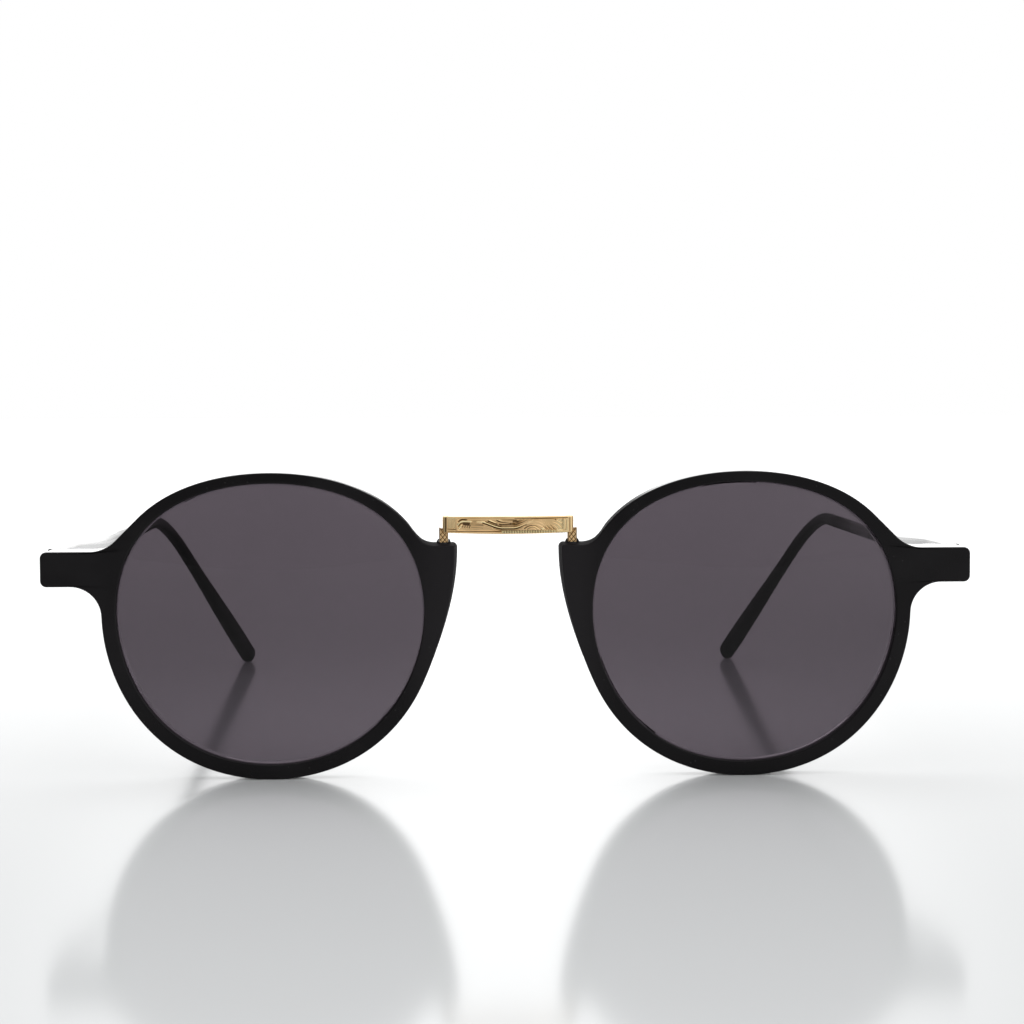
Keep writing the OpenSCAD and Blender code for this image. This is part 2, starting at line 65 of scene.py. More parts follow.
# %% [markdown]
# The camera comes first, because every later choice is judged through it. It stands 30 cm in front of the
# lenses and 56 mm above the table, a little to the wearer's right, and looks slightly down. A long lens of
# about 75 mm keeps the front from bulging.

# %% Camera
camera_place = Vector((-9.52, front_y - 299.24, 56.13)) * MM
camera_turn, camera_dip, camera_roll = map(math.radians, (-1.925, 3.478, 0.1825))

camera_data = bpy.data.cameras.new("camera")
camera_data.lens = 74.52
camera_data.sensor_width = 36
camera_data.clip_start = 0.01
camera = bpy.data.objects.new("camera", camera_data)
bpy.context.scene.collection.objects.link(camera)
turn = (
    Matrix.Rotation(camera_turn, 4, "Z")
    @ Matrix.Rotation(-camera_dip, 4, "X")
    @ Matrix.Rotation(camera_roll, 4, "Y")
    @ Matrix.Rotation(math.radians(90), 4, "X")
)
camera.matrix_world = Matrix.Translation(camera_place) @ turn
bpy.context.scene.camera = camera
print("camera at", [round(v / MM, 1) for v in camera_place], "mm")

# %% [markdown]
# Most of the forms follow a few rules, which these helpers give: a rounded corner between two lines, a curve
# drawn by three points, and a step that starts and ends softly.


# %% Helpers for curves
def unit(v):
    return np.asarray(v, float) / np.linalg.norm(v)


def mix(a, b, s):
    return a + (b - a) * s


def shares(steps):
    """Even shares from 0 to 1, with both ends."""
    return [k / steps for k in range(steps + 1)]


def smooth(s):
    """A soft step: 0 up to 0, 1 from 1 on."""
    c = np.clip(s, 0.0, 1.0)
    return c * c * (3 - 2 * c)


def between(v, start, end, ramp, end_ramp=None):
    """1 between start and end and 0 outside, with a soft step at each."""
    return smooth((v - start) / ramp) * smooth((end - v) / (end_ramp or ramp))


def spot(v, middle, reach):
    """1 in the middle, falling softly to 0 at its reach on both sides."""
    return smooth(1 - abs(v - middle) / reach)


def across(v):
    return unit([v[1], -v[0]])


def corner_arc(a, b, c, radius, steps):
    """The arc that rounds the corner at b, from the side of a to the side of c."""
    u, v = unit(a - b), unit(c - b)
    half = math.acos(np.clip(u @ v, -1, 1)) / 2
    longest = 0.95
    reach = min(radius / math.tan(half), longest * np.linalg.norm(a - b), longest * np.linalg.norm(c - b))
    fit = reach * math.tan(half)
    middle = b + unit(u + v) * fit / math.sin(half)
    p, q = unit(b + u * reach - middle), unit(b + v * reach - middle)
    turn = math.acos(np.clip(p @ q, -1, 1))
    return [
        middle + fit * (p * math.sin((1 - s) * turn) + q * math.sin(s * turn)) / math.sin(turn)
        for s in shares(steps)
    ]


def bezier(a, b, c, s):
    return mix(mix(a, b, s), mix(b, c, s), s)


# %% [markdown]
# Every moulded piece is a skin: closed rings of points, one after the other, joined by faces. Such faces are
# even and flowing, so a glossy surface reflects without dents. The left half is worked out, and the right
# half is its mirror image.

# %% Helpers for meshes
sharp_angle = 38.0


def link(obj):
    bpy.context.scene.collection.objects.link(obj)
    return obj


def mesh_object(name, points, faces, side=1, sharp=sharp_angle):
    """A mesh from points in millimetres behind the front plane. A side of -1 mirrors it."""
    mesh = bpy.data.meshes.new(name)
    places = [(side * p[0] * MM, (p[1] + front_y) * MM, p[2] * MM) for p in points]
    mesh.from_pydata(places, [], faces)
    work = bmesh.new()
    work.from_mesh(mesh)
    bmesh.ops.remove_doubles(work, verts=work.verts, dist=1e-7)
    bmesh.ops.recalc_face_normals(work, faces=work.faces)
    work.to_mesh(mesh)
    work.free()
    mesh.shade_smooth()
    mesh.set_sharp_from_angle(angle=math.radians(sharp))
    return link(bpy.data.objects.new(name, mesh))


def ring_faces(rings, count, loop):
    """Faces between rings that each have count points. A loop joins the last ring to the first."""
    last = rings if loop else rings - 1
    faces = []
    for i in range(last):
        a, b = i * count, (i + 1) % rings * count
        faces += [(a + k, a + (k + 1) % count, b + (k + 1) % count, b + k) for k in range(count)]
    return faces


def rod_faces(rings, count):
    """Faces of a closed rod: those between its rings, and a cap on the first and on the last ring."""
    last = (rings - 1) * count
    return ring_faces(rings, count, loop=False) + [tuple(range(count)), tuple(range(last, last + count))]


def dress(obj, *materials):
    """Gives the object these materials and no others."""
    obj.data.materials.clear()
    for material in materials:
        obj.data.materials.append(material)


def apply_modifiers(obj):
    """Gives the object the mesh that its modifiers make, and removes them."""
    shown = obj.evaluated_get(bpy.context.evaluated_depsgraph_get())
    mesh = bpy.data.meshes.new_from_object(shown)
    obj.modifiers.clear()
    obj.data = mesh


def combine(obj, other, operation):
    """Joins another closed mesh to the object, or cuts it out of the object, and removes the other one."""
    step = obj.modifiers.new("combine", "BOOLEAN")
    step.operation = operation
    step.object = other
    step.solver = "EXACT"
    apply_modifiers(obj)
    bpy.data.objects.remove(other)
    obj.data.set_sharp_from_angle(angle=math.radians(sharp_angle))
    return obj


def cut_box(obj, low, high, side=1):
    """Cuts a box out of the object, given by two corners in millimetres behind the front plane."""
    points = [(x, y, z) for x in (low[0], high[0]) for y in (low[1], high[1]) for z in (low[2], high[2])]
    faces = [(0, 1, 3, 2), (4, 6, 7, 5), (0, 4, 5, 1), (2, 3, 7, 6), (0, 2, 6, 4), (1, 5, 7, 3)]
    return combine(obj, mesh_object("cutter", points, faces, side), "DIFFERENCE")


# %% [markdown]
# The materials are made of nodes. These helpers add the few kinds that are used, and set or link the inputs
# by name. All patterns lie on object coordinates, so they stay on a piece when it moves.


# %% Helpers for nodes
def plug(source, socket):
    """Puts a plain value or the output of another node into a socket."""
    if isinstance(source, bpy.types.NodeSocket):
        socket.id_data.links.new(source, socket)
    else:
        socket.default_value = source


def feed(node, **sources):
    for name, source in sources.items():
        plug(source, node.inputs[name.replace("_", " ")])
    return node


def add(tree, kind, **sources):
    return feed(tree.nodes.new(kind), **sources)


def math_node(tree, kind, a, b, clamp=False):
    node = tree.nodes.new("ShaderNodeMath")
    node.operation = kind
    node.use_clamp = clamp
    plug(a, node.inputs[0])
    plug(b, node.inputs[1])
    return node.outputs[0]


def range_node(tree, value, low, high, to_low, to_high):
    node = tree.nodes.new("ShaderNodeMapRange")
    node.interpolation_type = "SMOOTHSTEP"
    for place, source in enumerate((value, low, high, to_low, to_high)):
        plug(source, node.inputs[place])
    return node.outputs[0]


def object_place(tree):
    return tree.nodes.new("ShaderNodeTexCoord").outputs["Object"]


def object_axis(tree, axis):
    return add(tree, "ShaderNodeSeparateXYZ", Vector=object_place(tree)).outputs[axis]


def noise_node(tree, scale, detail):
    place = object_place(tree)
    return add(tree, "ShaderNodeTexNoise", Vector=place, Scale=scale, Detail=detail).outputs["Fac"]


def colour_mix(tree, mask, first, second):
    node = tree.nodes.new("ShaderNodeMix")
    node.data_type = "RGBA"
    plug(mask, node.inputs["Factor"])
    ends = [s for s in node.inputs if s.type == "RGBA"]
    for socket, source in zip(ends, (first, second)):
        plug((*source, 1) if isinstance(source, tuple) else source, socket)
    return [s for s in node.outputs if s.type == "RGBA"][0]


def bump(tree, height, strength, distance):
    node = add(tree, "ShaderNodeBump", Height=height, Strength=strength, Distance=distance)
    return node.outputs["Normal"]


# %% [markdown]
# A finish that several materials share is one node group. Plastic, lens and metal all carry faint smudges
# and very shallow waves, so the first group gives a smudge mask and a height, and each material sets their
# size. The second group gives the few specks of dust on the plastic.


# %% Shared finish
def new_group(name, inputs, outputs):
    group = bpy.data.node_groups.new(name, "ShaderNodeTree")
    for socket, value in inputs.items():
        made = group.interface.new_socket(socket, in_out="INPUT", socket_type="NodeSocketFloat")
        made.default_value = value
    for socket in outputs:
        group.interface.new_socket(socket, in_out="OUTPUT", socket_type="NodeSocketFloat")
    return group, group.nodes.new("NodeGroupInput").outputs, group.nodes.new("NodeGroupOutput")


sizes = {"Smudge Scale": 60.0, "Wave Scale": 250.0}
handled, given, made = new_group("handled_surface", sizes, ["Smudge", "Height"])
smudge = range_node(handled, noise_node(handled, given["Smudge Scale"], 4.0), 0.42, 0.68, 0, 1)
feed(made, Smudge=smudge, Height=noise_node(handled, given["Wave Scale"], 2.0))

sizes = {"Speck Scale": 900.0, "Speck Size": 0.1}
dusty, given, made = new_group("dust_specks", sizes, ["Specks"])
speck = add(dusty, "ShaderNodeTexVoronoi", Vector=object_place(dusty), Scale=given["Speck Scale"])
near = math_node(dusty, "LESS_THAN", speck.outputs["Distance"], given["Speck Size"])
patch = range_node(dusty, noise_node(dusty, 130.0, 3.0), 0.52, 0.62, 0, 1)
feed(made, Specks=math_node(dusty, "MULTIPLY", near, patch))
print("shared finishes:", handled.name, "and", dusty.name)


# %% [markdown]
# The frame is black plastic, polished until it shines. It looks almost black from the front, and shows its
# gloss only where the light skims over it, as on the tops of the temples. Beside the nose the black is a
# little lighter grey. One recipe makes three finishes. The rims are glossy. The nose flanges are dull, so
# that they grip, and this fades into the gloss along the brow. The temples and endpieces carry a clear
# polish, which skin has worn off towards the ear.

# %% Black plastic
clean_black, smudged_black = (0.0036, 0.003, 0.0036), (0.0078, 0.007, 0.0078)
nose_side_grey, dust_grey = (0.0125, 0.0112, 0.0125), (0.03, 0.029, 0.03)
glossy_level, dull_level = 0.16, 0.03


def new_material(name):
    material = bpy.data.materials.new(name)
    material.use_nodes = True
    return material, material.node_tree, material.node_tree.nodes["Principled BSDF"]


def group_node(tree, group, **values):
    node = tree.nodes.new("ShaderNodeGroup")
    node.node_tree = group
    return feed(node, **values).outputs


def nose_mask(tree, near, far):
    """1 up to a distance of near on both sides of the nose, and 0 from far on, in millimetres."""
    sideways = math_node(tree, "ABSOLUTE", object_axis(tree, "X"), 0.0)
    return range_node(tree, sideways, near * MM, far * MM, 1, 0)


def plastic(name, smooth_spots, worn_spots):
    """Black plastic with faint smudges, shallow waves, a little dust and a lighter grey beside the nose."""
    material, tree, shader = new_material(name)
    finish = group_node(tree, handled, Smudge_Scale=70, Wave_Scale=320)
    specks = group_node(tree, dusty, Speck_Scale=1100, Speck_Size=0.09)
    base = colour_mix(tree, finish["Smudge"], clean_black, smudged_black)
    base = colour_mix(tree, nose_mask(tree, 9, 16.5), base, nose_side_grey)
    base = colour_mix(tree, specks["Specks"], base, dust_grey)
    roughness = range_node(tree, finish["Smudge"], 0, 1, smooth_spots, worn_spots)
    relief = bump(tree, finish["Height"], 0.12, 0.06 * MM)
    feed(shader, Base_Color=base, Roughness=roughness, Normal=relief)
    feed(shader, IOR=1.5, Specular_IOR_Level=glossy_level)
    print("material", material.name)
    return material, tree, shader, roughness


black_plastic = plastic("black_plastic", 0.13, 0.24)[0]

dull_plastic, tree, shader, roughness = plastic("dull_plastic", 0.13, 0.24)
grip = nose_mask(tree, 15.2, 22.5)
roughness = math_node(tree, "ADD", roughness, math_node(tree, "MULTIPLY", grip, 0.375))
level = range_node(tree, grip, 0, 1, glossy_level, dull_level)
feed(shader, Roughness=roughness, Specular_IOR_Level=level)

temple_plastic, tree, shader, roughness = plastic("temple_plastic", 0.12, 0.22)
back = object_axis(tree, "Y")
polish = range_node(tree, back, (front_y + 30) * MM, (front_y + 70) * MM, 1, 0)
dulled = range_node(tree, back, (front_y + 62) * MM, (front_y + 84) * MM, 0, 0.3)
feed(shader, Roughness=math_node(tree, "ADD", roughness, dulled))
feed(shader, Coat_Weight=polish, Coat_IOR=1.42, Coat_Roughness=0.05)

# %% [markdown]
# A smoke-grey sun lens lets about a tenth of the light through, with a faint purple cast. The Principled
# shader's transmission tints what is seen through it, and the colour is a little lighter towards the bottom,
# as the photograph shows.

# %% Smoke lens
smoke_lens, tree, shader = new_material("smoke_lens")
finish = group_node(tree, handled, Smudge_Scale=45, Wave_Scale=90)
lower = range_node(tree, object_axis(tree, "Z"), 4 * MM, 22 * MM, 1, 0)
tint = colour_mix(tree, lower, (0.0735, 0.0615, 0.073), (0.1, 0.0845, 0.1))
roughness = range_node(tree, finish["Smudge"], 0, 1, 0.0, 0.012)
feed(shader, Base_Color=tint, Roughness=roughness, Transmission_Weight=1.0, IOR=1.28)
print("material", smoke_lens.name)

# %% [markdown]
# The brass of the bridge has darkened in the engraved cuts, and whatever stands up is painted pale, a painted
# highlight. The mesh carries an attribute named cut. It is 1 at the bottom of an engraved line, 0 on the
# plain face and -1 on a ridge, and it turns brown patina into plain brass and on into a pale painted
# highlight. The same brown also serves as painted shade on the bends and legs of the bridge.

# %% Engraved brass
plain_brass, smudged_brass = (0.9, 0.62, 0.32), (0.76, 0.51, 0.25)
painted_highlight_brass, patina_and_shade_brown = (1.0, 0.87, 0.5), (0.11, 0.066, 0.032)

brass, tree, shader = new_material("engraved_brass")
finish = group_node(tree, handled, Smudge_Scale=240, Wave_Scale=1800)
attribute = tree.nodes.new("ShaderNodeAttribute")
attribute.attribute_name = "cut"
cut = attribute.outputs["Fac"]
base = colour_mix(tree, finish["Smudge"], plain_brass, smudged_brass)
# Negative cut values turn the brass pale: a painted highlight
base = colour_mix(tree, range_node(tree, cut, -0.9, -0.1, 1, 0), base, painted_highlight_brass)
base = colour_mix(tree, range_node(tree, cut, 0.05, 1.0, 0, 1), base, patina_and_shade_brown)
roughness = range_node(tree, cut, -1, 1, 0.2, 0.46)
relief = bump(tree, finish["Height"], 0.25, 0.03 * MM)
feed(shader, Base_Color=base, Roughness=roughness, Normal=relief, Metallic=1.0)
print("material", brass.name)

# %% [markdown]
# The hinges, screws and core wires are nickel-grey steel, with the same smudges and a fine grain.

# %% Hinge steel
steel, tree, shader = new_material("hinge_steel")
finish = group_node(tree, handled, Smudge_Scale=180, Wave_Scale=1400)
base = colour_mix(tree, finish["Smudge"], (0.52, 0.52, 0.53), (0.42, 0.42, 0.44))
roughness = range_node(tree, finish["Smudge"], 0, 1, 0.25, 0.4)
relief = bump(tree, finish["Height"], 0.2, 0.03 * MM)
feed(shader, Base_Color=base, Roughness=roughness, Normal=relief, Metallic=1.0)
print("material", steel.name)

# %% [markdown]
# The rim is one moulding: the ring round the lens, the endpiece that carries the hinge, and the flange with
# the pad that rests on the nose. It is a row of sections that runs round the lens. The opening is a slightly
# squared circle with a fuller brow, and the outer outline leaves the plain ring for the endpiece and the
# flange.

# %% Rim outline
# The opening: the gap between the two, its width and height, and how full the brow and how square it is
lens_gap, lens_w, lens_h, cheek, square_up = 24.0, 43.4, 40.0, 0.044, 0.025
# The ring: its depth, its width at the side and at the brow, and the radius of its edges
rim_depth, rim_side, rim_brow, edge_r = 3.4, 2.1, 1.5, 0.2
# The endpiece: where it ends, its height, place and depth, and its corners and blends
end_w, end_h, end_rise, end_depth = 66.0, 4.95, 8.0, 6.2
end_corner, low_blend, high_blend = 0.9, 4.4, 5.2
# The flange and the nose pad
nose_x, flange_rise, flange_blend, flange_corner = 7.6, 11.1, 3.0, 0.3
pad_depth, pad_swell, pad_splay = 2.6, 0.6, 1.3
# The angles round the lens where the endpiece and the flange leave the ring and meet it again
end_from, end_to, nose_from, nose_to = 3, 41, 146, 200
# Steps of large and small corners, of the nose curve and of straight runs, and the angle of a plain step
fine, coarse, nose_steps, straight_steps, ring_step = 14, 8, 40, 8, 1.5

lens_x = lens_gap / 2 + lens_w / 2
lens_z = rim_side + lens_h / 2
open_a = lens_w / 2 / (1 + 2 * cheek * cheek)
open_b = lens_h / 2 / (1 - square_up)
end_z = lens_z + end_rise
flange_z = lens_z + flange_rise


def opening(t):
    a = math.radians(t)
    x = lens_x + open_a * (math.cos(a) + cheek * math.sin(2 * a))
    return np.array([x, lens_z + open_b * (math.sin(a) + square_up * math.sin(3 * a))])


def opening_out(t):
    a = math.radians(t)
    x = open_a * (-math.sin(a) + 2 * cheek * math.cos(2 * a))
    return across([x, open_b * (math.cos(a) + 3 * square_up * math.cos(3 * a))])


def rim_width(t):
    return rim_side - (rim_side - rim_brow) * max(0.0, math.sin(math.radians(t))) ** 2


def ring_at(t):
    return opening(t) + rim_width(t) * opening_out(t)


def meet(t, axis, value):
    """Where the ring's tangent at t reaches a value of x (axis 0) or z (axis 1)."""
    p, way = ring_at(t), unit(ring_at(t + 1) - ring_at(t - 1))
    return p + way * (value - p[axis]) / way[axis]


def outline(from_t, to_t, pieces):
    """Stations along curved pieces that are joined by straight runs. Each piece is (points, its share)."""
    stations, count = [(0.0, ring_at(from_t))], 0.0
    for points, share in pieces:
        start, curve = stations[-1][1], points[1:]
        stations += [(count + s, mix(start, points[0], s)) for s in shares(straight_steps)[1:]]
        stations += [(count + 1 + share * k / len(curve), p) for k, p in enumerate(curve, 1)]
        count += 1 + share
    return [(mix(from_t, to_t, u / count), p) for u, p in stations]


end_low, end_high = end_z - end_h / 2, end_z + end_h / 2
low_root, high_root = meet(end_from, 1, end_low), meet(end_to, 1, end_high)
low_corner, high_corner = np.array([end_w, end_low]), np.array([end_w, end_high])
end_stations = outline(end_from, end_to, [
    (corner_arc(ring_at(end_from), low_root, low_corner, low_blend, fine), 5),
    (corner_arc(low_root, low_corner, high_corner, end_corner, fine), 3),
    (corner_arc(low_corner, high_corner, high_root, end_corner, fine), 3),
    (corner_arc(high_corner, high_root, ring_at(end_to), high_blend, fine), 5),
    ([ring_at(end_to)], 0),
])
flange_root, flange_tip = meet(nose_from, 1, flange_z), np.array([nose_x, flange_z])
nose_turn = meet(nose_to, 0, nose_x)
nose_start = flange_tip - np.array([0, flange_corner])
nose_stations = outline(nose_from, nose_to, [
    (corner_arc(ring_at(nose_from), flange_root, flange_tip, flange_blend, fine), 3),
    (corner_arc(flange_root, flange_tip, nose_turn, flange_corner, coarse), 2),
    ([bezier(nose_start, nose_turn, ring_at(nose_to), s) for s in shares(nose_steps)[1:]], 6),
])


def plain_stations(from_t, to_t):
    turns = [mix(from_t, to_t, s) for s in shares(round((to_t - from_t) / ring_step))[1:-1]]
    return [(t, ring_at(t)) for t in turns]


all_stations = end_stations + plain_stations(end_to, nose_from)
all_stations += nose_stations + plain_stations(nose_to, end_from + 360)
least_step = 0.01
stations = all_stations[:1]
for station in all_stations[1:]:
    if np.linalg.norm(station[1] - stations[-1][1]) > least_step:
        stations.append(station)
print("stations round a rim:", len(stations))

# %% [markdown]
# Each section starts at the front of the lens opening, goes back past the groove that holds the lens, out
# over the back and forward along the outer wall. Towards the hinge and the nose the back rises, and on the
# nose pad the wall swells and leans away from the nose, so that the pad sits softly.

# %% Rim sections
# The lens in its groove: thickness, set-back from the front, bulge, play and the depth of the groove
lens_t, lens_inset, lens_bulge, lens_play, groove_depth = 1.8, 0.9, 0.8, 0.05, 0.55
groove_y, groove_half = lens_inset + lens_t / 2, lens_t / 2 - 0.25
# The back of the rim: how softly the endpiece and the pad rise, and where their slope starts and ends
blend_angle, pad_ramp = 10, 20
pad_from, pad_to = nose_from - 4, nose_to - 2
foot_share, foot_grow, top_share, shoulder, least_land = 0.5, 0.45, 0.7, 0.9, 0.15
slope_steps, wall_steps, support = 6, 10, 0.05
# A rounded edge: the shares of its radius that are left to both sides, from one end to the other
quarter = [(1 - math.sin(a), 1 - math.cos(a)) for a in map(math.radians, range(0, 91, 18))]


def rim_section(i):
    t, q = stations[i]
    p, n = opening(t), opening_out(t)
    m = across(stations[(i + 1) % len(stations)][1] - stations[i - 1][1])
    along, span, w = unit(q - p), np.linalg.norm(q - p), rim_width(t)
    lug, pad = between(t, end_from, end_to, blend_angle), between(t, pad_from, pad_to, pad_ramp)
    grow = max(lug, pad)
    back = rim_depth + lug * (end_depth - rim_depth) + pad * pad_depth
    foot = w * (foot_share + foot_grow * grow)
    top = w * top_share + grow * (w * (1 - top_share) + shoulder)
    top = min(top, span - edge_r - pad * pad_splay - least_land)

    def wall(f):
        return q + m * pad * (4 * pad_swell * f * (1 - f) - pad_splay * f * f)

    e = edge_r
    points = [(p + n * e * s, e * c) for s, c in quarter]
    points += [(p, groove_y - groove_half), (p + n * groove_depth, groove_y), (p, groove_y + groove_half)]
    points += [(p + n * e * c, rim_depth - e * s) for s, c in quarter]
    points += [(p + along * mix(foot, top, s), mix(rim_depth, back, smooth(s))) for s in shares(slope_steps)]
    back_q = wall(1)
    points.append((back_q - m * (e + support), back))
    points += [(back_q - m * e * s, back - e * c) for s, c in quarter]
    points += [(wall(s), mix(e, back - e, s)) for s in shares(wall_steps)[-2:0:-1]]
    points += [(q - m * e * c, e * s) for s, c in quarter]
    points += [(q - m * (e + support), 0), (p + n * (e + support), 0)]
    return [(x[0], y, x[1]) for x, y in points]


rim_rings = [rim_section(i) for i in range(len(stations))]
rim_points = [p for ring in rim_rings for p in ring]
rim_faces = ring_faces(len(rim_rings), len(rim_rings[0]), loop=True)
print("points in a section:", len(rim_rings[0]), "faces round a rim:", len(rim_faces))

# %% [markdown]
# The same skin makes both rims. The seat of the hinge is cut into the back of the endpiece, and a small
# conical boss, which grips the leg of the bridge in its slot, is joined to the top of the flange. Then every
# face gets its finish: the forward faces are glossy, the top of the flange and the pad are dull, and the top
# and the end of the endpiece are polished like the temple behind it.

# %% Rims
# The hinge's seat in the endpiece
temple_w, swing_play, knuckle_r, hinge_h, leaf_t, leaf_margin = 2.55, 0.2, 1.2, 4.8, 0.8, 0.7
hinge_x, leaf_from, seat_play = end_w - temple_w - swing_play - knuckle_r, 57.5, 0.02
leaf_half = hinge_h / 2 - leaf_margin + seat_play
seat_low = (leaf_from - seat_play, end_depth - leaf_t, end_z - leaf_half)
seat_high = (hinge_x + knuckle_r + seat_play, end_depth + 1, end_z + leaf_half)
# The bar of the bridge, its legs, and the bosses that hold them
bar_len, bar_h, bar_belly, bar_bow, bar_rise = 18.6, 2.3, 0.2, 0.5, 1.8
leg_w, leg_deep, leg_lift, leg_x, leg_y, leg_gap = 1.3, 1.6, 0.4, 9.15, rim_depth / 2, 0.02
boss_h, boss_foot, boss_top, boss_sink, boss_steps = 0.85, 1.4, 0.85, 0.6, 40
slot_low = (leg_x - leg_w / 2 - leg_gap, leg_y - boss_foot, flange_z + leg_lift)
slot_high = (leg_x + leg_w / 2 + leg_gap, leg_y + boss_foot, flange_z + 2)
# Where the finishes change: on the flange, on the pad, and on the top and the end of the endpiece
flange_to, flange_drop, pad_to_x, low_pad_to_x = nose_x + 15.2, 0.35, nose_x + 0.9, 10.6
top_from_x, end_from_x = end_w - 11.5, end_w - 0.3


def boss_skin(side):
    """The small cone on the flange, with a soft foot and a soft upper edge."""
    def radius(z):
        return mix(boss_foot, boss_top, (z + boss_sink) / (boss_h + boss_sink))

    profile = [(boss_foot, -boss_sink), (radius(0) + 0.14, -0.02), (radius(0.06) + 0.05, 0.06)]
    profile += [(radius(z), z) for z in (0.16, 0.3, 0.45, 0.6, 0.72)]
    profile += [(radius(0.8) - 0.02, 0.8), (radius(boss_h) - 0.08, boss_h), (0.3, boss_h)]
    points = [
        (leg_x + r * math.cos(a), leg_y + r * math.sin(a), flange_z + z)
        for r, z in profile
        for a in [2 * math.pi * s for s in shares(boss_steps)[:-1]]
    ]
    return mesh_object("boss", points, rod_faces(len(profile), boss_steps), side)


def rim_finish(face):
    """The place of a face's finish in the rim's list: 0 is glossy, 1 dull and 2 polished."""
    x, z = abs(face.center.x) / MM, face.center.z / MM
    on_flange = x < flange_to and z > flange_z - flange_drop
    on_low_pad = x < low_pad_to_x and 12 < z < flange_z - 6 and abs(face.normal.x) > 0.6
    on_top = x > top_from_x and z > end_z and face.normal.z > 0.9
    if face.normal.y < -0.85:
        return 0
    if on_flange or on_low_pad or x < pad_to_x:
        return 1
    return 2 if on_top or x > end_from_x else 0


for side, word in ((1, "left"), (-1, "right")):
    rim = mesh_object(f"{word}_rim_moulding", rim_points, rim_faces, side)
    cut_box(rim, seat_low, seat_high, side)
    combine(rim, cut_box(boss_skin(side), slot_low, slot_high, side), "UNION")
    dress(rim, black_plastic, dull_plastic, temple_plastic)
    for face in rim.data.polygons:
        face.material_index = rim_finish(face)
    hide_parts(f"{word}_rim")
    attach(rim, "front")
    print(rim.name, len(rim.data.polygons), "faces")

# %% [markdown]
# A lens is a shallow bowl whose edge sits in the groove of the rim. Its rings grow from the middle of the
# front, turn over the edge and shrink to the middle of the back. A narrow bevel breaks both sharp edges and
# catches a thin line of light. Both faces keep the same curve, so the lens doesn't bend the view.

# %% Lenses
lens_steps, lens_bevel, face_rings = 180, 0.14, 16
face_shares = shares(face_rings)[1:-1]


def lens_edge(drop, y):
    turns = [360 * s for s in shares(lens_steps)[:-1]]
    return [(*(opening(t) + opening_out(t) * drop), y) for t in turns]


def lens_face(share, y):
    middle = np.array([lens_x, lens_z])
    depth = y - lens_bulge * (1 - share * share)
    edge = lens_edge(-lens_play - lens_bevel, 0)
    return [(*mix(middle, np.array(p[:2]), share), depth) for p in edge]


def lens_mesh(name, side):
    front, back = lens_inset, lens_inset + lens_t
    rings = [lens_face(s, front) for s in face_shares]
    rings += [
        lens_edge(-lens_play - lens_bevel, front),
        lens_edge(-lens_play, front + lens_bevel),
        lens_edge(-lens_play, groove_y - groove_half),
        lens_edge(groove_depth - 2 * lens_play, groove_y),
        lens_edge(-lens_play, groove_y + groove_half),
        lens_edge(-lens_play, back - lens_bevel),
        lens_edge(-lens_play - lens_bevel, back),
    ]
    rings += [lens_face(s, back) for s in reversed(face_shares)]
    points = [(x, y, z) for ring in rings for x, z, y in ring]
    faces = ring_faces(len(rings), lens_steps, loop=False)
    for y, ring in ((front - lens_bulge, 0), (back - lens_bulge, len(rings) - 1)):
        points.append((lens_x, y, lens_z))
        first = ring * lens_steps
        faces += [(len(points) - 1, first + k, first + (k + 1) % lens_steps) for k in range(lens_steps)]
    return mesh_object(name, points, faces, side)


for side, word in ((1, "left"), (-1, "right")):
    lens = lens_mesh(f"{word}_smoke_lens", side)
    dress(lens, smoke_lens)
    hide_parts(f"{word}_lens")
    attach(lens, "front")
    print(lens.name, len(lens.data.polygons), "faces")

# %% [markdown]
# A temple is a long skin along a path: straight back from the hinge, a slow lean inwards, a soft bend over
# the ear and a straight run to the rounded tip. Its section changes on the way, from a tall rounded bar at
# the hinge to a slim rod, and to a flat oval at the tip.

# %% Temples
# The butt and the leaf of the hinge
butt_y, butt_round = end_depth + 0.1, 0.15
temple_x, temple_leaf, leaf_set = end_w - temple_w / 2, 8.0, 0.2
# The arm: its length, lean and climb, the size of the slim rod, and where the taper starts and ends
arm_len, arm_lean, arm_climb, arm_h, arm_w = 100.0, 3.1, 0.9, 2.1, 2.0
full_len, arm_taper = 4.0, 42.0
# Behind the bend: length, lean, the size of the tip, and the radii of the bend and of the sections
ear_len, ear_lean, tip_h, tip_w, bend_r = 43.0, 13.0, 3.4, 2.5, 24.0
slim_r, cap_r = arm_w / 2 - 0.1, tip_w / 2 - 0.05
arm_steps, bend_steps, ear_steps = 44, 30, 20

ear_z, tip_z = end_z + arm_climb, tip_h / 2
cap_len = 0.98 * tip_z
ear_drop = ear_z - tip_z
ear_reach = math.sqrt(ear_len**2 - ear_drop**2 - ear_lean**2)
arm_start = np.array([temple_x, butt_y, end_z])
arm_root = arm_start + [0, temple_leaf + 1, 0]
ear_bend = np.array([temple_x - arm_lean, arm_len, ear_z])
tip_middle = ear_bend + [-ear_lean, ear_reach, -ear_drop]
ear_way = unit(tip_middle - ear_bend)
bend_arc = corner_arc(arm_root, ear_bend, tip_middle, bend_r, bend_steps)


def arm_stop(p):
    """Place, height, thickness and corner radius of a section of the arm."""
    s = smooth((p[1] - butt_y - full_len) / (arm_taper - full_len))
    return p, mix(end_h, arm_h, s), mix(temple_w, arm_w, s), mix(edge_r + 0.1, slim_r, s)


def ear_stop(s):
    g = smooth(s * 1.1)
    return mix(bend_arc[-1], tip_middle, s), mix(arm_h, tip_h, g), mix(arm_w, tip_w, g), mix(slim_r, cap_r, s)


def cap_stop(a):
    c = math.cos(a)
    return tip_middle + ear_way * cap_len * math.sin(a), tip_h * c, tip_w * c, cap_r * c


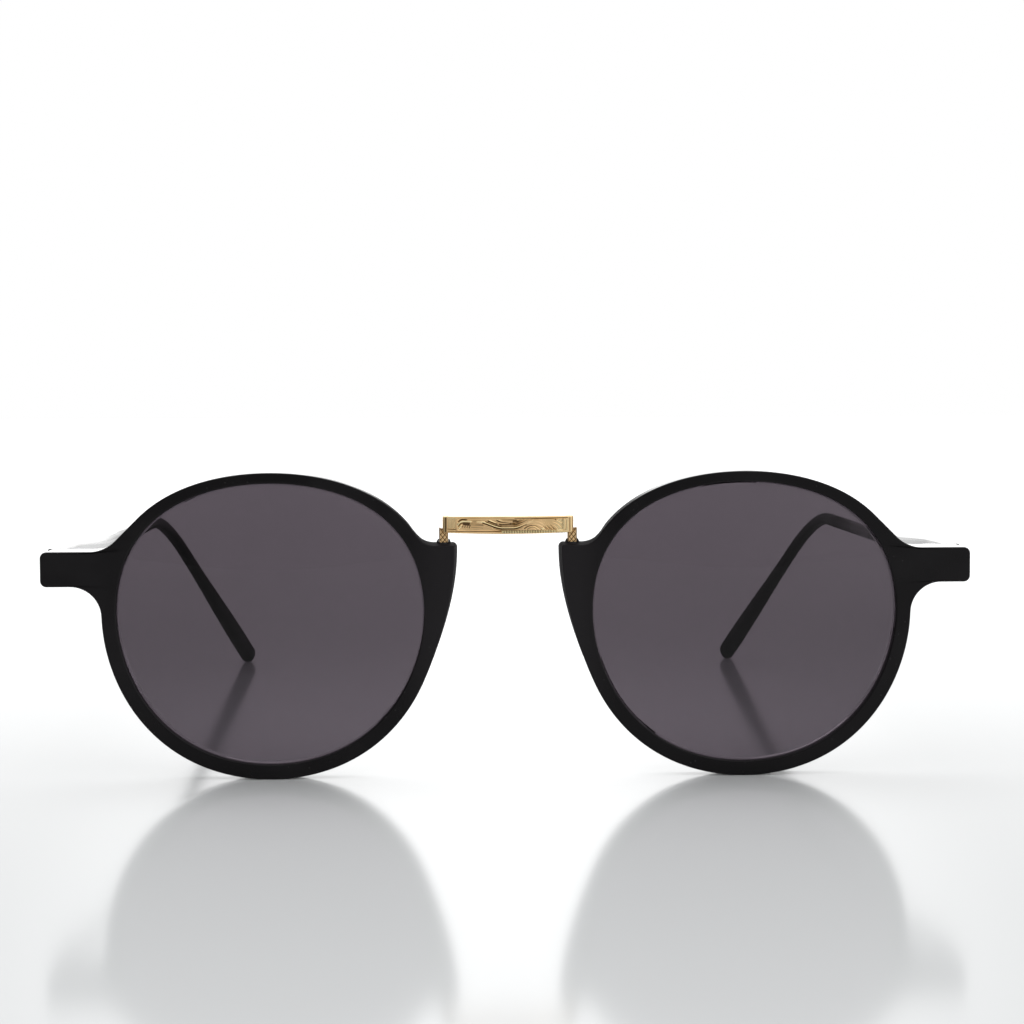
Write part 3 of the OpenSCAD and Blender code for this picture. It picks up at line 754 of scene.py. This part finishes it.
stops = []
for s, c in quarter[:-1]:
    place, h, w, r = arm_stop(arm_start + [0, butt_round * s, 0])
    inset = butt_round * c
    stops.insert(0, (place, h - 2 * inset, w - 2 * inset, r))
stops += [arm_stop(mix(arm_start, arm_root, s)) for s in (0.1, 0.3, 0.5, 0.7, 0.9)]
stops += [arm_stop(mix(arm_root, bend_arc[0], s)) for s in shares(arm_steps)]
stops += [arm_stop(p) for p in bend_arc[1:]]
stops += [ear_stop(s) for s in shares(ear_steps)[1:]]
stops += [cap_stop(math.radians(a)) for a in (10, 20, 30, 40, 50, 60, 70, 80, 86)]


def temple_ring(i):
    place, h, w, r = stops[i]
    if i < len(quarter) - 1:
        way = np.array([0.0, 1.0, 0.0])
    elif i == len(stops) - 1:
        way = ear_way
    else:
        way = unit(stops[i + 1][0] - stops[i - 1][0])
    up = unit(np.array([0, 0, 1.0]) - way * way[2])
    out = np.cross(way, up)
    ring = []
    for sx, sz, start in ((1, 1, 0), (-1, 1, 90), (-1, -1, 180), (1, -1, 270)):
        for turned in range(0, 91, 15):
            a = math.radians(start + turned)
            x, z = sx * (w / 2 - r) + r * math.cos(a), sz * (h / 2 - r) + r * math.sin(a)
            ring.append(place + out * x + up * z)
    return ring


temple_rings = [temple_ring(i) for i in range(len(stops))]
temple_points = [p for ring in temple_rings for p in ring]
temple_faces = rod_faces(len(temple_rings), len(temple_rings[0]))
inner_x = end_w - temple_w
leaf_low = (inner_x - 1, butt_y - 1, end_z - leaf_half)
leaf_high = (inner_x + leaf_t, butt_y + leaf_set + temple_leaf + seat_play, end_z + leaf_half)

for side, word in ((1, "left"), (-1, "right")):
    temple = mesh_object(f"{word}_temple_arm", temple_points, temple_faces, side)
    cut_box(temple, leaf_low, leaf_high, side)
    dress(temple, temple_plastic)
    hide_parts(f"{word}_temple")
    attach(temple, f"{word}_temple_body")
    print(temple.name, len(temple.data.polygons), "faces")

# %% [markdown]
# The hinge halves and screws are already right in the frame. Their flat-shaded triangles are copied, merged
# and given softly rounded edges and smooth shading, because real metal always catches a line of light on its
# edges. The core wires lie inside the temples, so they stay as they are.

# %% Hinges, screws and wires
edge_round, rounded_from, sharp_from, flat_below = 0.05 * MM, 50, 35, 1


def rounded_copy(node, name, material, body):
    work = bmesh.new()
    work.from_mesh(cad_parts[node].data)
    bmesh.ops.remove_doubles(work, verts=work.verts, dist=1e-6)
    flat = math.radians(flat_below)
    bmesh.ops.dissolve_limit(work, angle_limit=flat, verts=work.verts, edges=work.edges)
    mesh = bpy.data.meshes.new(name)
    work.to_mesh(mesh)
    work.free()
    piece = link(bpy.data.objects.new(name, mesh))
    round_off = piece.modifiers.new("round", "BEVEL")
    round_off.width = edge_round
    round_off.segments = 2
    round_off.limit_method = "ANGLE"
    round_off.angle_limit = math.radians(rounded_from)
    apply_modifiers(piece)
    piece.data.shade_smooth()
    piece.data.set_sharp_from_angle(angle=math.radians(sharp_from))
    dress(piece, material)
    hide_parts(node)
    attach(piece, body)


for word in ("left", "right"):
    rounded_copy(f"{word}_front_hinge", f"{word}_front_hinge_plate", steel, "front")
    rounded_copy(f"{word}_hinge_screw", f"{word}_hinge_screw_head", steel, "front")
    body = f"{word}_temple_body"
    rounded_copy(f"{word}_temple_hinge", f"{word}_temple_hinge_plate", steel, body)
    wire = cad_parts[f"{word}_core_wire"]
    dress(wire, steel)
print("hinges finished on both sides")

# %% [markdown]
# The bridge is one brass strap. Its front is engraved, and its ends are bent back and run down as legs into
# the rims. The engraving has a plain end, two hooks like breaking waves, long lines that flow down and up
# again, a fan of short cuts and a border. Each line on the face has a width and a strength, and heights are
# measured from the middle of the bar.

# %% Drawing of the engraving
border = 0.93


def flow(x):
    """The wave that the long lines follow: down from the left, level, and up to the right."""
    return 0.5 - 0.88 * smooth((x + 4.2) / 3.4) + 1.05 * smooth((x - 0.7) / 3.3)


def wave_line(lift, from_x, to_x, rise=0.0):
    x = np.linspace(from_x, to_x, 28)
    return np.column_stack([x, flow(x) + lift + rise * np.linspace(0, 1, len(x))])


def soft_line(points):
    """A hand-drawn line: its corners are cut twice, which rounds them."""
    line = np.array(points, float)
    for _ in range(2):
        inner = [q for a, b in zip(line[:-1], line[1:]) for q in (mix(a, b, 0.25), mix(a, b, 0.75))]
        line = np.array([line[0], *inner, line[-1]])
    return line


# Width and strength of each wave, then its lift, its start and end, and how far it rises on the way
wave_rows = [
    (0.15, 1.0, -0.15, -3.6, 2.6), (0.08, 0.5, -0.36, -2.2, 2.0), (0.12, 0.8, 0.17, -3.2, 3.4),
    (0.1, 0.6, 0.31, -1.9, 3.2), (0.14, 1.0, 0.41, -2.85, -1.6), (0.12, 0.9, 0.47, -1.3, 3.1),
    (0.15, 1.0, 0.92, -1.6, 0.4, -0.3), (0.11, 0.8, 0.66, 0.2, 3.0), (0.13, 0.8, 1.22, -1.0, 1.2, -0.12),
    (0.1, 0.7, 0.86, 0.6, 2.7), (0.1, 0.4, -0.5, -4.6, -2.4, 0.1), (0.09, 0.5, 0.06, -5.0, -3.9),
]
waves = [(wave_line(*place), width, strength) for width, strength, *place in wave_rows]
waves += [(soft_line([(0.75, 0.52), (1.1, 0.58), (1.4, 0.5)]), 0.17, 1.0)]

# Width and strength of each stroke, then its points. The hooks come first, then the arcs
stroke_rows = [
    (0.15, 1.0, (-7.05, 0.42), (-6.7, 0.78), (-5.9, 0.74)),
    (0.12, 1.0, (-7.05, -0.2), (-6.8, 0.16), (-6.35, 0.32), (-5.45, 0.26)),
    (0.3, 1.0, (-6.35, 0.12), (-6.0, 0.08), (-5.6, 0.06)),
    (0.13, 0.8, (2.3, -0.5), (2.75, -0.2), (3.35, -0.03), (4.0, -0.17), (4.3, -0.45), (4.7, -0.66)),
    (0.12, 0.6, (2.7, -0.64), (3.0, -0.42), (3.4, -0.32), (3.8, -0.42), (4.05, -0.66)),
    (0.1, 0.45, (2.4, -0.12), (3.05, 0.14), (3.7, 0.27), (4.4, 0.08), (4.95, -0.25)),
    (0.09, 0.35, (3.2, 0.42), (3.9, 0.56), (4.5, 0.44), (5.1, 0.1)),
    (0.08, 0.25, (3.6, 0.74), (4.2, 0.82), (4.8, 0.66), (5.3, 0.3)),
]
# The fringe of the hooks, the short cuts of the fan, and faint lines behind both and on the plain end
fringe = ((-6.52, -0.34), (-6.16, -0.4), (-5.82, -0.36), (-5.5, -0.42))
stroke_rows += [(0.1, 0.7, (x + 0.14, 0.02), (x + 0.02, -0.2), (x - 0.05, low)) for x, low in fringe]
fan = ((0.0, -0.2), (0.26, -0.3), (0.5, -0.12), (0.78, -0.3), (1.04, -0.08), (1.3, -0.34))
stroke_rows += [(0.1, 0.8, (4.98 + d, top), (5.16 + d, top - 0.16), (5.45 + d, -0.68)) for d, top in fan]
stroke_rows += [(0.09, 0.5, (-5.3, h), (-4.5, h - 0.05), (-3.6, h - 0.12)) for h in (0.2, 0.02, -0.3)]
offsets = (0, 0.26, 0.52, 0.8)
stroke_rows += [(0.07, 0.3, (4.8 + d, 0.78 - 0.2 * d), (4.95 + d, 0.35), (5.2 + d, -0.1)) for d in offsets]
stroke_rows += [(0.06, 0.22, (x, 0.85), (x, -0.5)) for x in (-8.5, -8.3, -8.1, -7.9, -7.7, -7.5, -7.3)]
# Scratches and a punch mark at the right, then the border and the brackets at its ends
stroke_rows += [
    (0.1, 0.4, (6.4, 0.42), (7.2, 0.1), (7.6, -0.4)),
    (0.08, 0.4, (6.9, 0.7), (7.7, 0.25)),
    (0.08, 0.35, (6.3, 0.0), (6.8, -0.2), (7.1, -0.6)),
    (0.15, 1.0, (6.68, 0.74), (6.74, 0.72)),
    (0.1, 0.9, (0.9, border), (8.45, border)),
    (0.08, 0.5, (-7.2, border), (0.9, border)),
    (0.09, 0.3, (7.7, 0.8), (8.12, 0.8), (8.2, 0.7), (8.2, -0.6), (8.1, -0.76), (7.7, -0.78)),
    (0.09, 1.0, (8.72, 0.95), (8.72, -0.95)),
    (0.12, 1.0, (-8.6, -0.62), (-7.4, -0.64)),
    (0.08, 0.35, (-7.4, -0.64), (-5.0, -0.66), (-0.9, -0.7)),
    (0.1, 0.9, (-8.6, -0.92), (-4.0, -0.87), (-0.9, -0.92)),
]
strokes = [(soft_line(points), width, strength) for width, strength, *points in stroke_rows]

# The width of each raised ridge, painted pale as a highlight, and its line
ridges = [
    (0.17, wave_line(0.01, -4.4, 3.4)),
    (0.13, wave_line(0.56, -2.75, -1.8, -0.06)),
    (0.17, soft_line([(-1.55, 0.78), (-1.1, 0.56), (-0.4, 0.37), (0.15, 0.28)])),
    (0.08, wave_line(0.56, 0.5, 3.0)),
    (0.08, wave_line(0.24, -1.0, 3.1)),
    (0.15, soft_line([(3.5, -0.12), (4.1, -0.34), (4.42, -0.6), (5.0, -0.55)])),
    (0.17, soft_line([(-7.12, 0.02), (-6.78, 0.46), (-6.2, 0.53), (-5.3, 0.5)])),
    (0.12, soft_line([(-6.98, -0.5), (-6.82, -0.3), (-6.66, -0.12)])),
]
print("engraved lines:", len(waves) + len(strokes), "polished ridges:", len(ridges))

# %% [markdown]
# The engraving is real relief. For every point of the face, the distance to the nearest line says how deep
# the graver went. Between the lines the ground is sunk a little, so that the ridges can stand up without
# leaving the face. The waves and ridges fade towards the right, where the photograph shows them weaker.

# %% Relief of the engraving
line_depth, ground_depth, edge_band = 0.13, 0.08, border - 0.1
ground_from, ground_to, channel_z, channel_half = -7.3, 7.9, -0.96, 0.21


def line_share(x, z, line, width):
    """1 on the line and 0 at its width, for arrays of places on the face."""
    nearest = np.full_like(x, width)
    for a, b in zip(line[:-1], line[1:]):
        d = b - a
        s = np.clip(((x - a[0]) * d[0] + (z - a[1]) * d[1]) / (d @ d), 0, 1)
        nearest = np.minimum(nearest, np.hypot(x - a[0] - s * d[0], z - a[1] - s * d[1]))
    return smooth(1 - nearest / width)


def engraved(x, z):
    """Depth in millimetres and the value of the cut attribute, for arrays of places on the face."""
    in_border = smooth((edge_band - abs(z)) / 0.08)
    strong = in_border * (1 - 0.5 * smooth((x - 1.2) / 1.4))
    cuts, raised = np.zeros_like(x), np.zeros_like(x)
    for lines, mask in ((waves, strong), (strokes, 1.0)):
        for line, width, strength in lines:
            cuts = np.maximum(cuts, strength * line_share(x, z, line, width) * mask)
    for width, line in ridges:
        raised = np.maximum(raised, line_share(x, z, line, width) * strong)
    ground = between(x, ground_from, ground_to, 0.4, 0.3) * in_border
    # The shallow channel in which the milgrain lies
    channel = between(x, -1.0, 6.9, 0.1) * smooth((channel_half - abs(z - channel_z)) / 0.05 + 0.5)
    depth = ground_depth * ground * (1 - raised) + line_depth * np.maximum(cuts, 0.9 * channel)
    # Patina in the ground of the left and middle part, and painted light on the metal near both ends
    shaded = 0.2 * ground * between(x, -6.9, 4.2, 1.2, 1.8)
    bright = mix(0.25, 0.45, smooth((x - 6.2) / 1.2)) * between(x, 3.6, 8.75, 1.8, 0.2)
    bright = bright + 0.4 * smooth((-7.2 - x) / 0.4)
    # The painted light near the ends and a painted highlight on the raised ridges make the value negative
    value = np.maximum(cuts, 0.95 * channel) + shaded - (bright + 1.2 * raised) * (1 - cuts)
    return depth, np.clip(value, -1, 1)


def bar_y(x):
    return bar_bow * (2 * x / bar_len) ** 2


sample_x = np.linspace(-8, 8, 400)
print("deepest cut along the middle:", round(float(engraved(sample_x, 0 * sample_x)[0].max()), 3), "mm")

# %% [markdown]
# The strap itself is a skin along a path that looks like a shallow staple from above. Its upright section
# has many points on the front, where the relief is, and only a few round the edges and the back. Each bend
# carries a painted dark band and a thin painted glint, which stand for reflections.

# %% Strap of the bridge
strap_t, strap_bend, strap_return, bar_low = 0.9, 0.5, 2.9, flange_z + bar_rise
flat_steps, front_rows, edge_soft, soft, painted_edge_highlight = 400, 52, 0.12, 0.035, -0.3

half, end_y = bar_len / 2, bar_bow + strap_return
bend_point, bend_next = np.array([half, bar_bow]), np.array([half - 1, bar_y(half - 1)])
outer = [np.array([half, end_y - k * 0.4]) for k in range(6)]
outer += corner_arc(np.array([half, end_y]), bend_point, bend_next, strap_bend, 10)
bent = len(outer)
flat = half - strap_bend - 0.1
outer += [np.array([x, bar_y(x)]) for x in np.linspace(flat, -flat, flat_steps)]
outer += [np.array([-p[0], p[1]]) for p in reversed(outer[:bent])]
path = np.array(outer)
ways = np.gradient(path, axis=0)
inward = np.column_stack([ways[:, 1], -ways[:, 0]]) / np.linalg.norm(ways, axis=1)[:, None]
facing = np.sign(np.sum(inward * (np.array([0.0, 3.0]) - path), axis=1))
inward = inward * facing[:, None]

low = bar_low - bar_belly * (1 - (path[:, 0] / half) ** 2)
high = bar_low + bar_h
share = np.linspace(0, 1, front_rows)
height = low[:, None] + edge_soft + share * (high - low - 2 * edge_soft)[:, None]
along_bar = np.repeat(path[:, :1], front_rows, axis=1)
depth, cut_value = engraved(along_bar, height - (low[:, None] + high) / 2)
on_front = smooth((flat - abs(along_bar)) / 0.3 + 0.5)
# Painted reflections at the bends: a thin painted glint, and a painted dark band at each bend
painted_glint = spot(abs(along_bar + 0.08), half - 0.32, 0.07)
painted_dark_band = spot(along_bar, 0.42 - half, 0.42) + 0.7 * spot(along_bar, half - 0.48, 0.2)
depth, cut_value = depth * on_front, cut_value * on_front * (1 - painted_dark_band) + 0.9 * painted_dark_band - 1.8 * painted_glint
cut_value = np.clip(cut_value, -1, 1)


# Round the edges and over the back: the depth of each point, and its distance from the nearer edge
back_soft = strap_t - soft
turned = [(soft, soft), (edge_soft, 0), (strap_t - edge_soft, 0), (back_soft, soft), (strap_t, edge_soft)]
strap_points, strap_cuts = [], []
for i, p in enumerate(path):
    section = [*zip(depth[i], height[i])]
    section += [(d, high - z) for d, z in turned] + [(d, low[i] + z) for d, z in reversed(turned)]
    strap_points += [(*(p + inward[i] * d), z) for d, z in section]
    # The rounded edges and the back take a paler value, a painted highlight
    strap_cuts += [*cut_value[i], *([painted_edge_highlight] * 2 * len(turned))]
strap_faces = rod_faces(len(path), len(section))


def brass_piece(name, points, faces, cuts, side=1, sharp=60.0):
    """A brass mesh that keeps the cut value of each of its points."""
    piece = mesh_object(name, points, faces, side, sharp)
    assert len(piece.data.vertices) == len(points)
    attribute = piece.data.attributes.new("cut", "FLOAT", "POINT")
    attribute.data.foreach_set("value", np.array(cuts, np.float32))
    dress(piece, brass)
    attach(piece, "front")
    return piece


strap = brass_piece("bridge_strap", strap_points, strap_faces, strap_cuts)
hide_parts("bridge")
print(strap.name, len(strap.data.polygons), "faces")

# %% [markdown]
# Along the right part of the lower border runs a milgrain: a row of tiny beads that a knurled wheel presses
# into the metal. A row of equal things on a line is a task for Geometry Nodes. The tree spreads points along
# a path at a set pitch and puts a bead on each, and its result is then kept as a plain mesh.


# %% Milgrain tree
def milgrain_tree():
    tree = bpy.data.node_groups.new("milgrain_row", "GeometryNodeTree")
    kinds = {"Path": "Geometry", "Pitch": "Float", "Bead Width": "Float", "Bead Height": "Float"}
    for name, kind in (*kinds.items(), ("Metal", "Material")):
        tree.interface.new_socket(name, in_out="INPUT", socket_type=f"NodeSocket{kind}")
    tree.interface.new_socket("Beads", in_out="OUTPUT", socket_type="NodeSocketGeometry")
    given, made = tree.nodes.new("NodeGroupInput").outputs, tree.nodes.new("NodeGroupOutput")
    curve = add(tree, "GeometryNodeMeshToCurve", Mesh=given["Path"]).outputs["Curve"]
    spread = tree.nodes.new("GeometryNodeResampleCurve")
    spread.mode = "LENGTH"
    points = feed(spread, Curve=curve, Length=given["Pitch"]).outputs["Curve"]
    bead = add(tree, "GeometryNodeMeshIcoSphere", Radius=0.5, Subdivisions=2).outputs["Mesh"]
    width, height = given["Bead Width"], given["Bead Height"]
    size = add(tree, "ShaderNodeCombineXYZ", X=width, Y=width, Z=height).outputs["Vector"]
    row = add(tree, "GeometryNodeInstanceOnPoints", Points=points, Instance=bead, Scale=size)
    real = add(tree, "GeometryNodeRealizeInstances", Geometry=row.outputs["Instances"])
    coat = add(tree, "GeometryNodeSetMaterial", Geometry=real.outputs["Geometry"], Material=given["Metal"])
    feed(made, Beads=coat.outputs["Geometry"])
    return tree


# %% Milgrain
bead_pitch, bead_w, bead_h, bead_highlight = 0.229, 0.15, 0.44, -1.0
row_x = np.linspace(-0.85, 6.75, 60)
row_middle = bar_low + bar_h / 2 - bar_belly / 2 * (1 - (row_x / half) ** 2)
row = [(x, bar_y(x) + bead_w / 2 + 0.01, z + channel_z) for x, z in zip(row_x, row_middle)]
row_mesh = bpy.data.meshes.new("bridge_milgrain")
row_places = [(x * MM, (y + front_y) * MM, z * MM) for x, y, z in row]
row_mesh.from_pydata(row_places, [(k, k + 1) for k in range(len(row) - 1)], [])
beads = link(bpy.data.objects.new("bridge_milgrain", row_mesh))
grain = beads.modifiers.new("milgrain", "NODES")
grain.node_group = milgrain_tree()
settings = {"Pitch": bead_pitch * MM, "Bead Width": bead_w * MM, "Bead Height": bead_h * MM, "Metal": brass}
for socket in grain.node_group.interface.items_tree:
    if socket.in_out == "INPUT" and socket.name in settings:
        grain[socket.identifier] = settings[socket.name]
apply_modifiers(beads)
dress(beads, brass)
beads.data.polygons.foreach_set("material_index", np.zeros(len(beads.data.polygons), np.int32))
beads.data.shade_smooth()
# The beads take the palest value, a painted highlight
polish = beads.data.attributes.new("cut", "FLOAT", "POINT")
polish.data.foreach_set("value", np.full(len(beads.data.vertices), bead_highlight, np.float32))
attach(beads, "front")
print(beads.name, len(beads.data.polygons), "faces")

# %% [markdown]
# The legs are short posts that leave the bent ends of the strap and go down into the slots of the bosses.
# Their tops slant up to the outside, where the metal was folded over, and their fronts are cross-hatched.
# Each leg is a skin of rings from bottom to top.

# %% Legs of the bridge
leg_inner_over, leg_over, leg_columns, leg_rows, leg_soft, leg_nick = 0.15, 0.7, 26, 44, 0.14, 0.04
hatch_pitch, hatch_slope, hatch_width, hatch_depth = 0.6, 0.8, 0.2, 0.09
# How dark the edges, the plain metal and the sides and back of a leg are painted: painted shade
leg_edge_shade, plain_leg_shade, leg_back_shade, straight_share = 0.75, 0.12, 0.6, 0.95


def leg_top(x):
    return bar_low + mix(leg_inner_over, leg_over, (x - leg_x) / leg_w + 0.5)


def hatched(x, z):
    """Share of the crossing diagonal cuts at a place on the front of a leg."""
    offs = [(x + way * hatch_slope * (z - flange_z)) / hatch_pitch for way in (1, -1)]
    return max(spot(off, round(off), hatch_width) for off in offs)


def leg_ring(low, height_share, inset):
    """One ring of a leg. Its height follows the slant of the top, and inset rounds the upper edge."""
    front, back = leg_y - leg_deep / 2, leg_y + leg_deep / 2
    left, right = leg_x - leg_w / 2 + inset, leg_x + leg_w / 2 - inset
    points, cuts = [], []
    for x in np.linspace(left + leg_soft, right - leg_soft, leg_columns):
        z = mix(low, leg_top(x), height_share)
        edge = smooth((min(x - left, right - x) - 0.12) / 0.1) * smooth((0.93 - height_share) / 0.06)
        share = hatched(x, z) * edge
        points.append((x, front + inset + hatch_depth * share, z))
        # Plain metal, edges, sides and back are darkened with painted shade, and the hatched cuts take patina
        cuts.append(mix(leg_edge_shade, mix(plain_leg_shade, 1.0, share), edge))
    corners = [(right - leg_nick, front + leg_nick), (right, front + leg_soft), (right, back - leg_soft)]
    corners += [(right - leg_nick, back - leg_nick), (right - leg_soft, back)]
    corners += [(left + right - x, y) for x, y in reversed(corners)]
    for x, y in corners:
        y = min(max(y, front + inset), back - inset)
        points.append((x, y, mix(low, leg_top(x), height_share)))
    return points, cuts + [leg_back_shade] * len(corners)


base = flange_z + leg_lift + leg_gap
rings = [leg_ring(base, s * straight_share, 0.0) for s in shares(leg_rows)]
rings += [leg_ring(base, 1 - (1 - straight_share) * s, leg_soft * c) for s, c in quarter[1:]]
leg_points = [p for points, _ in rings for p in points]
leg_cuts = [c for _, cuts in rings for c in cuts]
leg_faces = rod_faces(len(rings), len(rings[0][0]))
for side, word in ((1, "left"), (-1, "right")):
    leg = brass_piece(f"{word}_bridge_leg", leg_points, leg_faces, leg_cuts, side, sharp=50.0)
    print(leg.name, len(leg.data.polygons), "faces")

# %% [markdown]
# The table is a sheet of glossy white board, slightly cold in colour. Its gloss is what makes the soft
# mirror image under the lenses: at this flat angle nearly half of the light from the table is a reflection.

# %% Table
table_size = 3.0
floor_mesh = bpy.data.meshes.new("table")
corners = [(x * table_size, y * table_size, 0) for x, y in ((-1, -1), (1, -1), (1, 1), (-1, 1))]
floor_mesh.from_pydata(corners, [], [(0, 1, 2, 3)])
table = link(bpy.data.objects.new("table", floor_mesh))
white_board, _, shader = new_material("white_board")
feed(shader, Base_Color=(0.757, 0.772, 0.778, 1), Roughness=0.12, IOR=1.5)
dress(table, white_board)
print("table", 2 * table_size, "m wide")

# %% [markdown]
# The light is that of a white tent, even from all sides, and a soft box above the table gives the faint
# shadows. Camera and transmission rays see plain white. Only the glossy rays, which make the mirror images,
# find a room: darker where the camera stands, with light from above, a window at the right of the front and
# a dark curtain at the left. Its backdrop is brightest behind the bridge and low down, and fades to the
# sides, which gives the table its grey corners and its soft bright middle.

# %% Light
even_light, least_mirrored = 0.95, 0.04

world = bpy.data.worlds.new("studio")
bpy.context.scene.world = world
world.use_nodes = True
sky = world.node_tree
sky.nodes.clear()
rays = sky.nodes.new("ShaderNodeLightPath").outputs
place = sky.nodes.new("ShaderNodeTexCoord").outputs["Generated"]
way = add(sky, "ShaderNodeSeparateXYZ", Vector=place).outputs


def chain(kind, first, *others):
    """One operation over two or more values, such as their sum."""
    for value in others:
        first = math_node(sky, kind, first, value)
    return first


def turning(axis, low, high, from_light, to_light):
    """Light that changes softly between two places along an axis of the directions."""
    return range_node(sky, way[axis], low, high, from_light, to_light)


front_dark = turning("Y", -0.95, -0.1, 0.24, 0.74)
right_window = turning("X", 0.02, 0.34, 0.0, 0.55)
left_curtain = turning("X", -0.95, -0.3, -0.4, 0.0)
above = turning("Z", 0.15, 0.6, 0.0, 0.4)
sides = chain("MULTIPLY", turning("Y", -0.2, 0.4, 1.0, 0.0), chain("ADD", right_window, left_curtain, above))
sideways = math_node(sky, "ABSOLUTE", chain("SUBTRACT", way["X"], 0.03), 0.0)
glow = range_node(sky, sideways, 0.06, 0.31, 0.95, 0.0)
low_band = chain("ADD", turning("Z", 0.15, 0.27, 0.5, 0.0), turning("Z", 0.09, 0.15, 0.4, 0.0))
backdrop = chain("MULTIPLY", turning("Y", 0.0, 0.8, 0.0, 1.0), chain("MAXIMUM", glow, low_band))
mirrored = chain("MAXIMUM", chain("ADD", front_dark, backdrop, sides), least_mirrored)

straight = chain("MAXIMUM", rays["Is Camera Ray"], rays["Is Transmission Ray"])
reflected = math_node(sky, "SUBTRACT", rays["Is Glossy Ray"], rays["Is Transmission Ray"], clamp=True)
seen = chain("MAXIMUM", straight, chain("MULTIPLY", reflected, mirrored))
spread_out = chain("SUBTRACT", 1.0, chain("MAXIMUM", straight, rays["Is Glossy Ray"]))
strength = chain("ADD", seen, chain("MULTIPLY", spread_out, even_light))
background = add(sky, "ShaderNodeBackground", Color=(1, 1, 1, 1), Strength=strength)
add(sky, "ShaderNodeOutputWorld", Surface=background.outputs[0])

soft_box = bpy.data.lights.new("soft_box", "AREA")
soft_box.shape = "RECTANGLE"
soft_box.size, soft_box.size_y = 0.5, 0.3
soft_box.energy = 0.5
box_light = link(bpy.data.objects.new("soft_box", soft_box))
box_light.location = (-0.15, 0.1, 0.55)
box_light.rotation_euler = (math.radians(-12), math.radians(-15), 0)

bpy.context.scene.view_settings.view_transform = "Standard"
print("lights set")
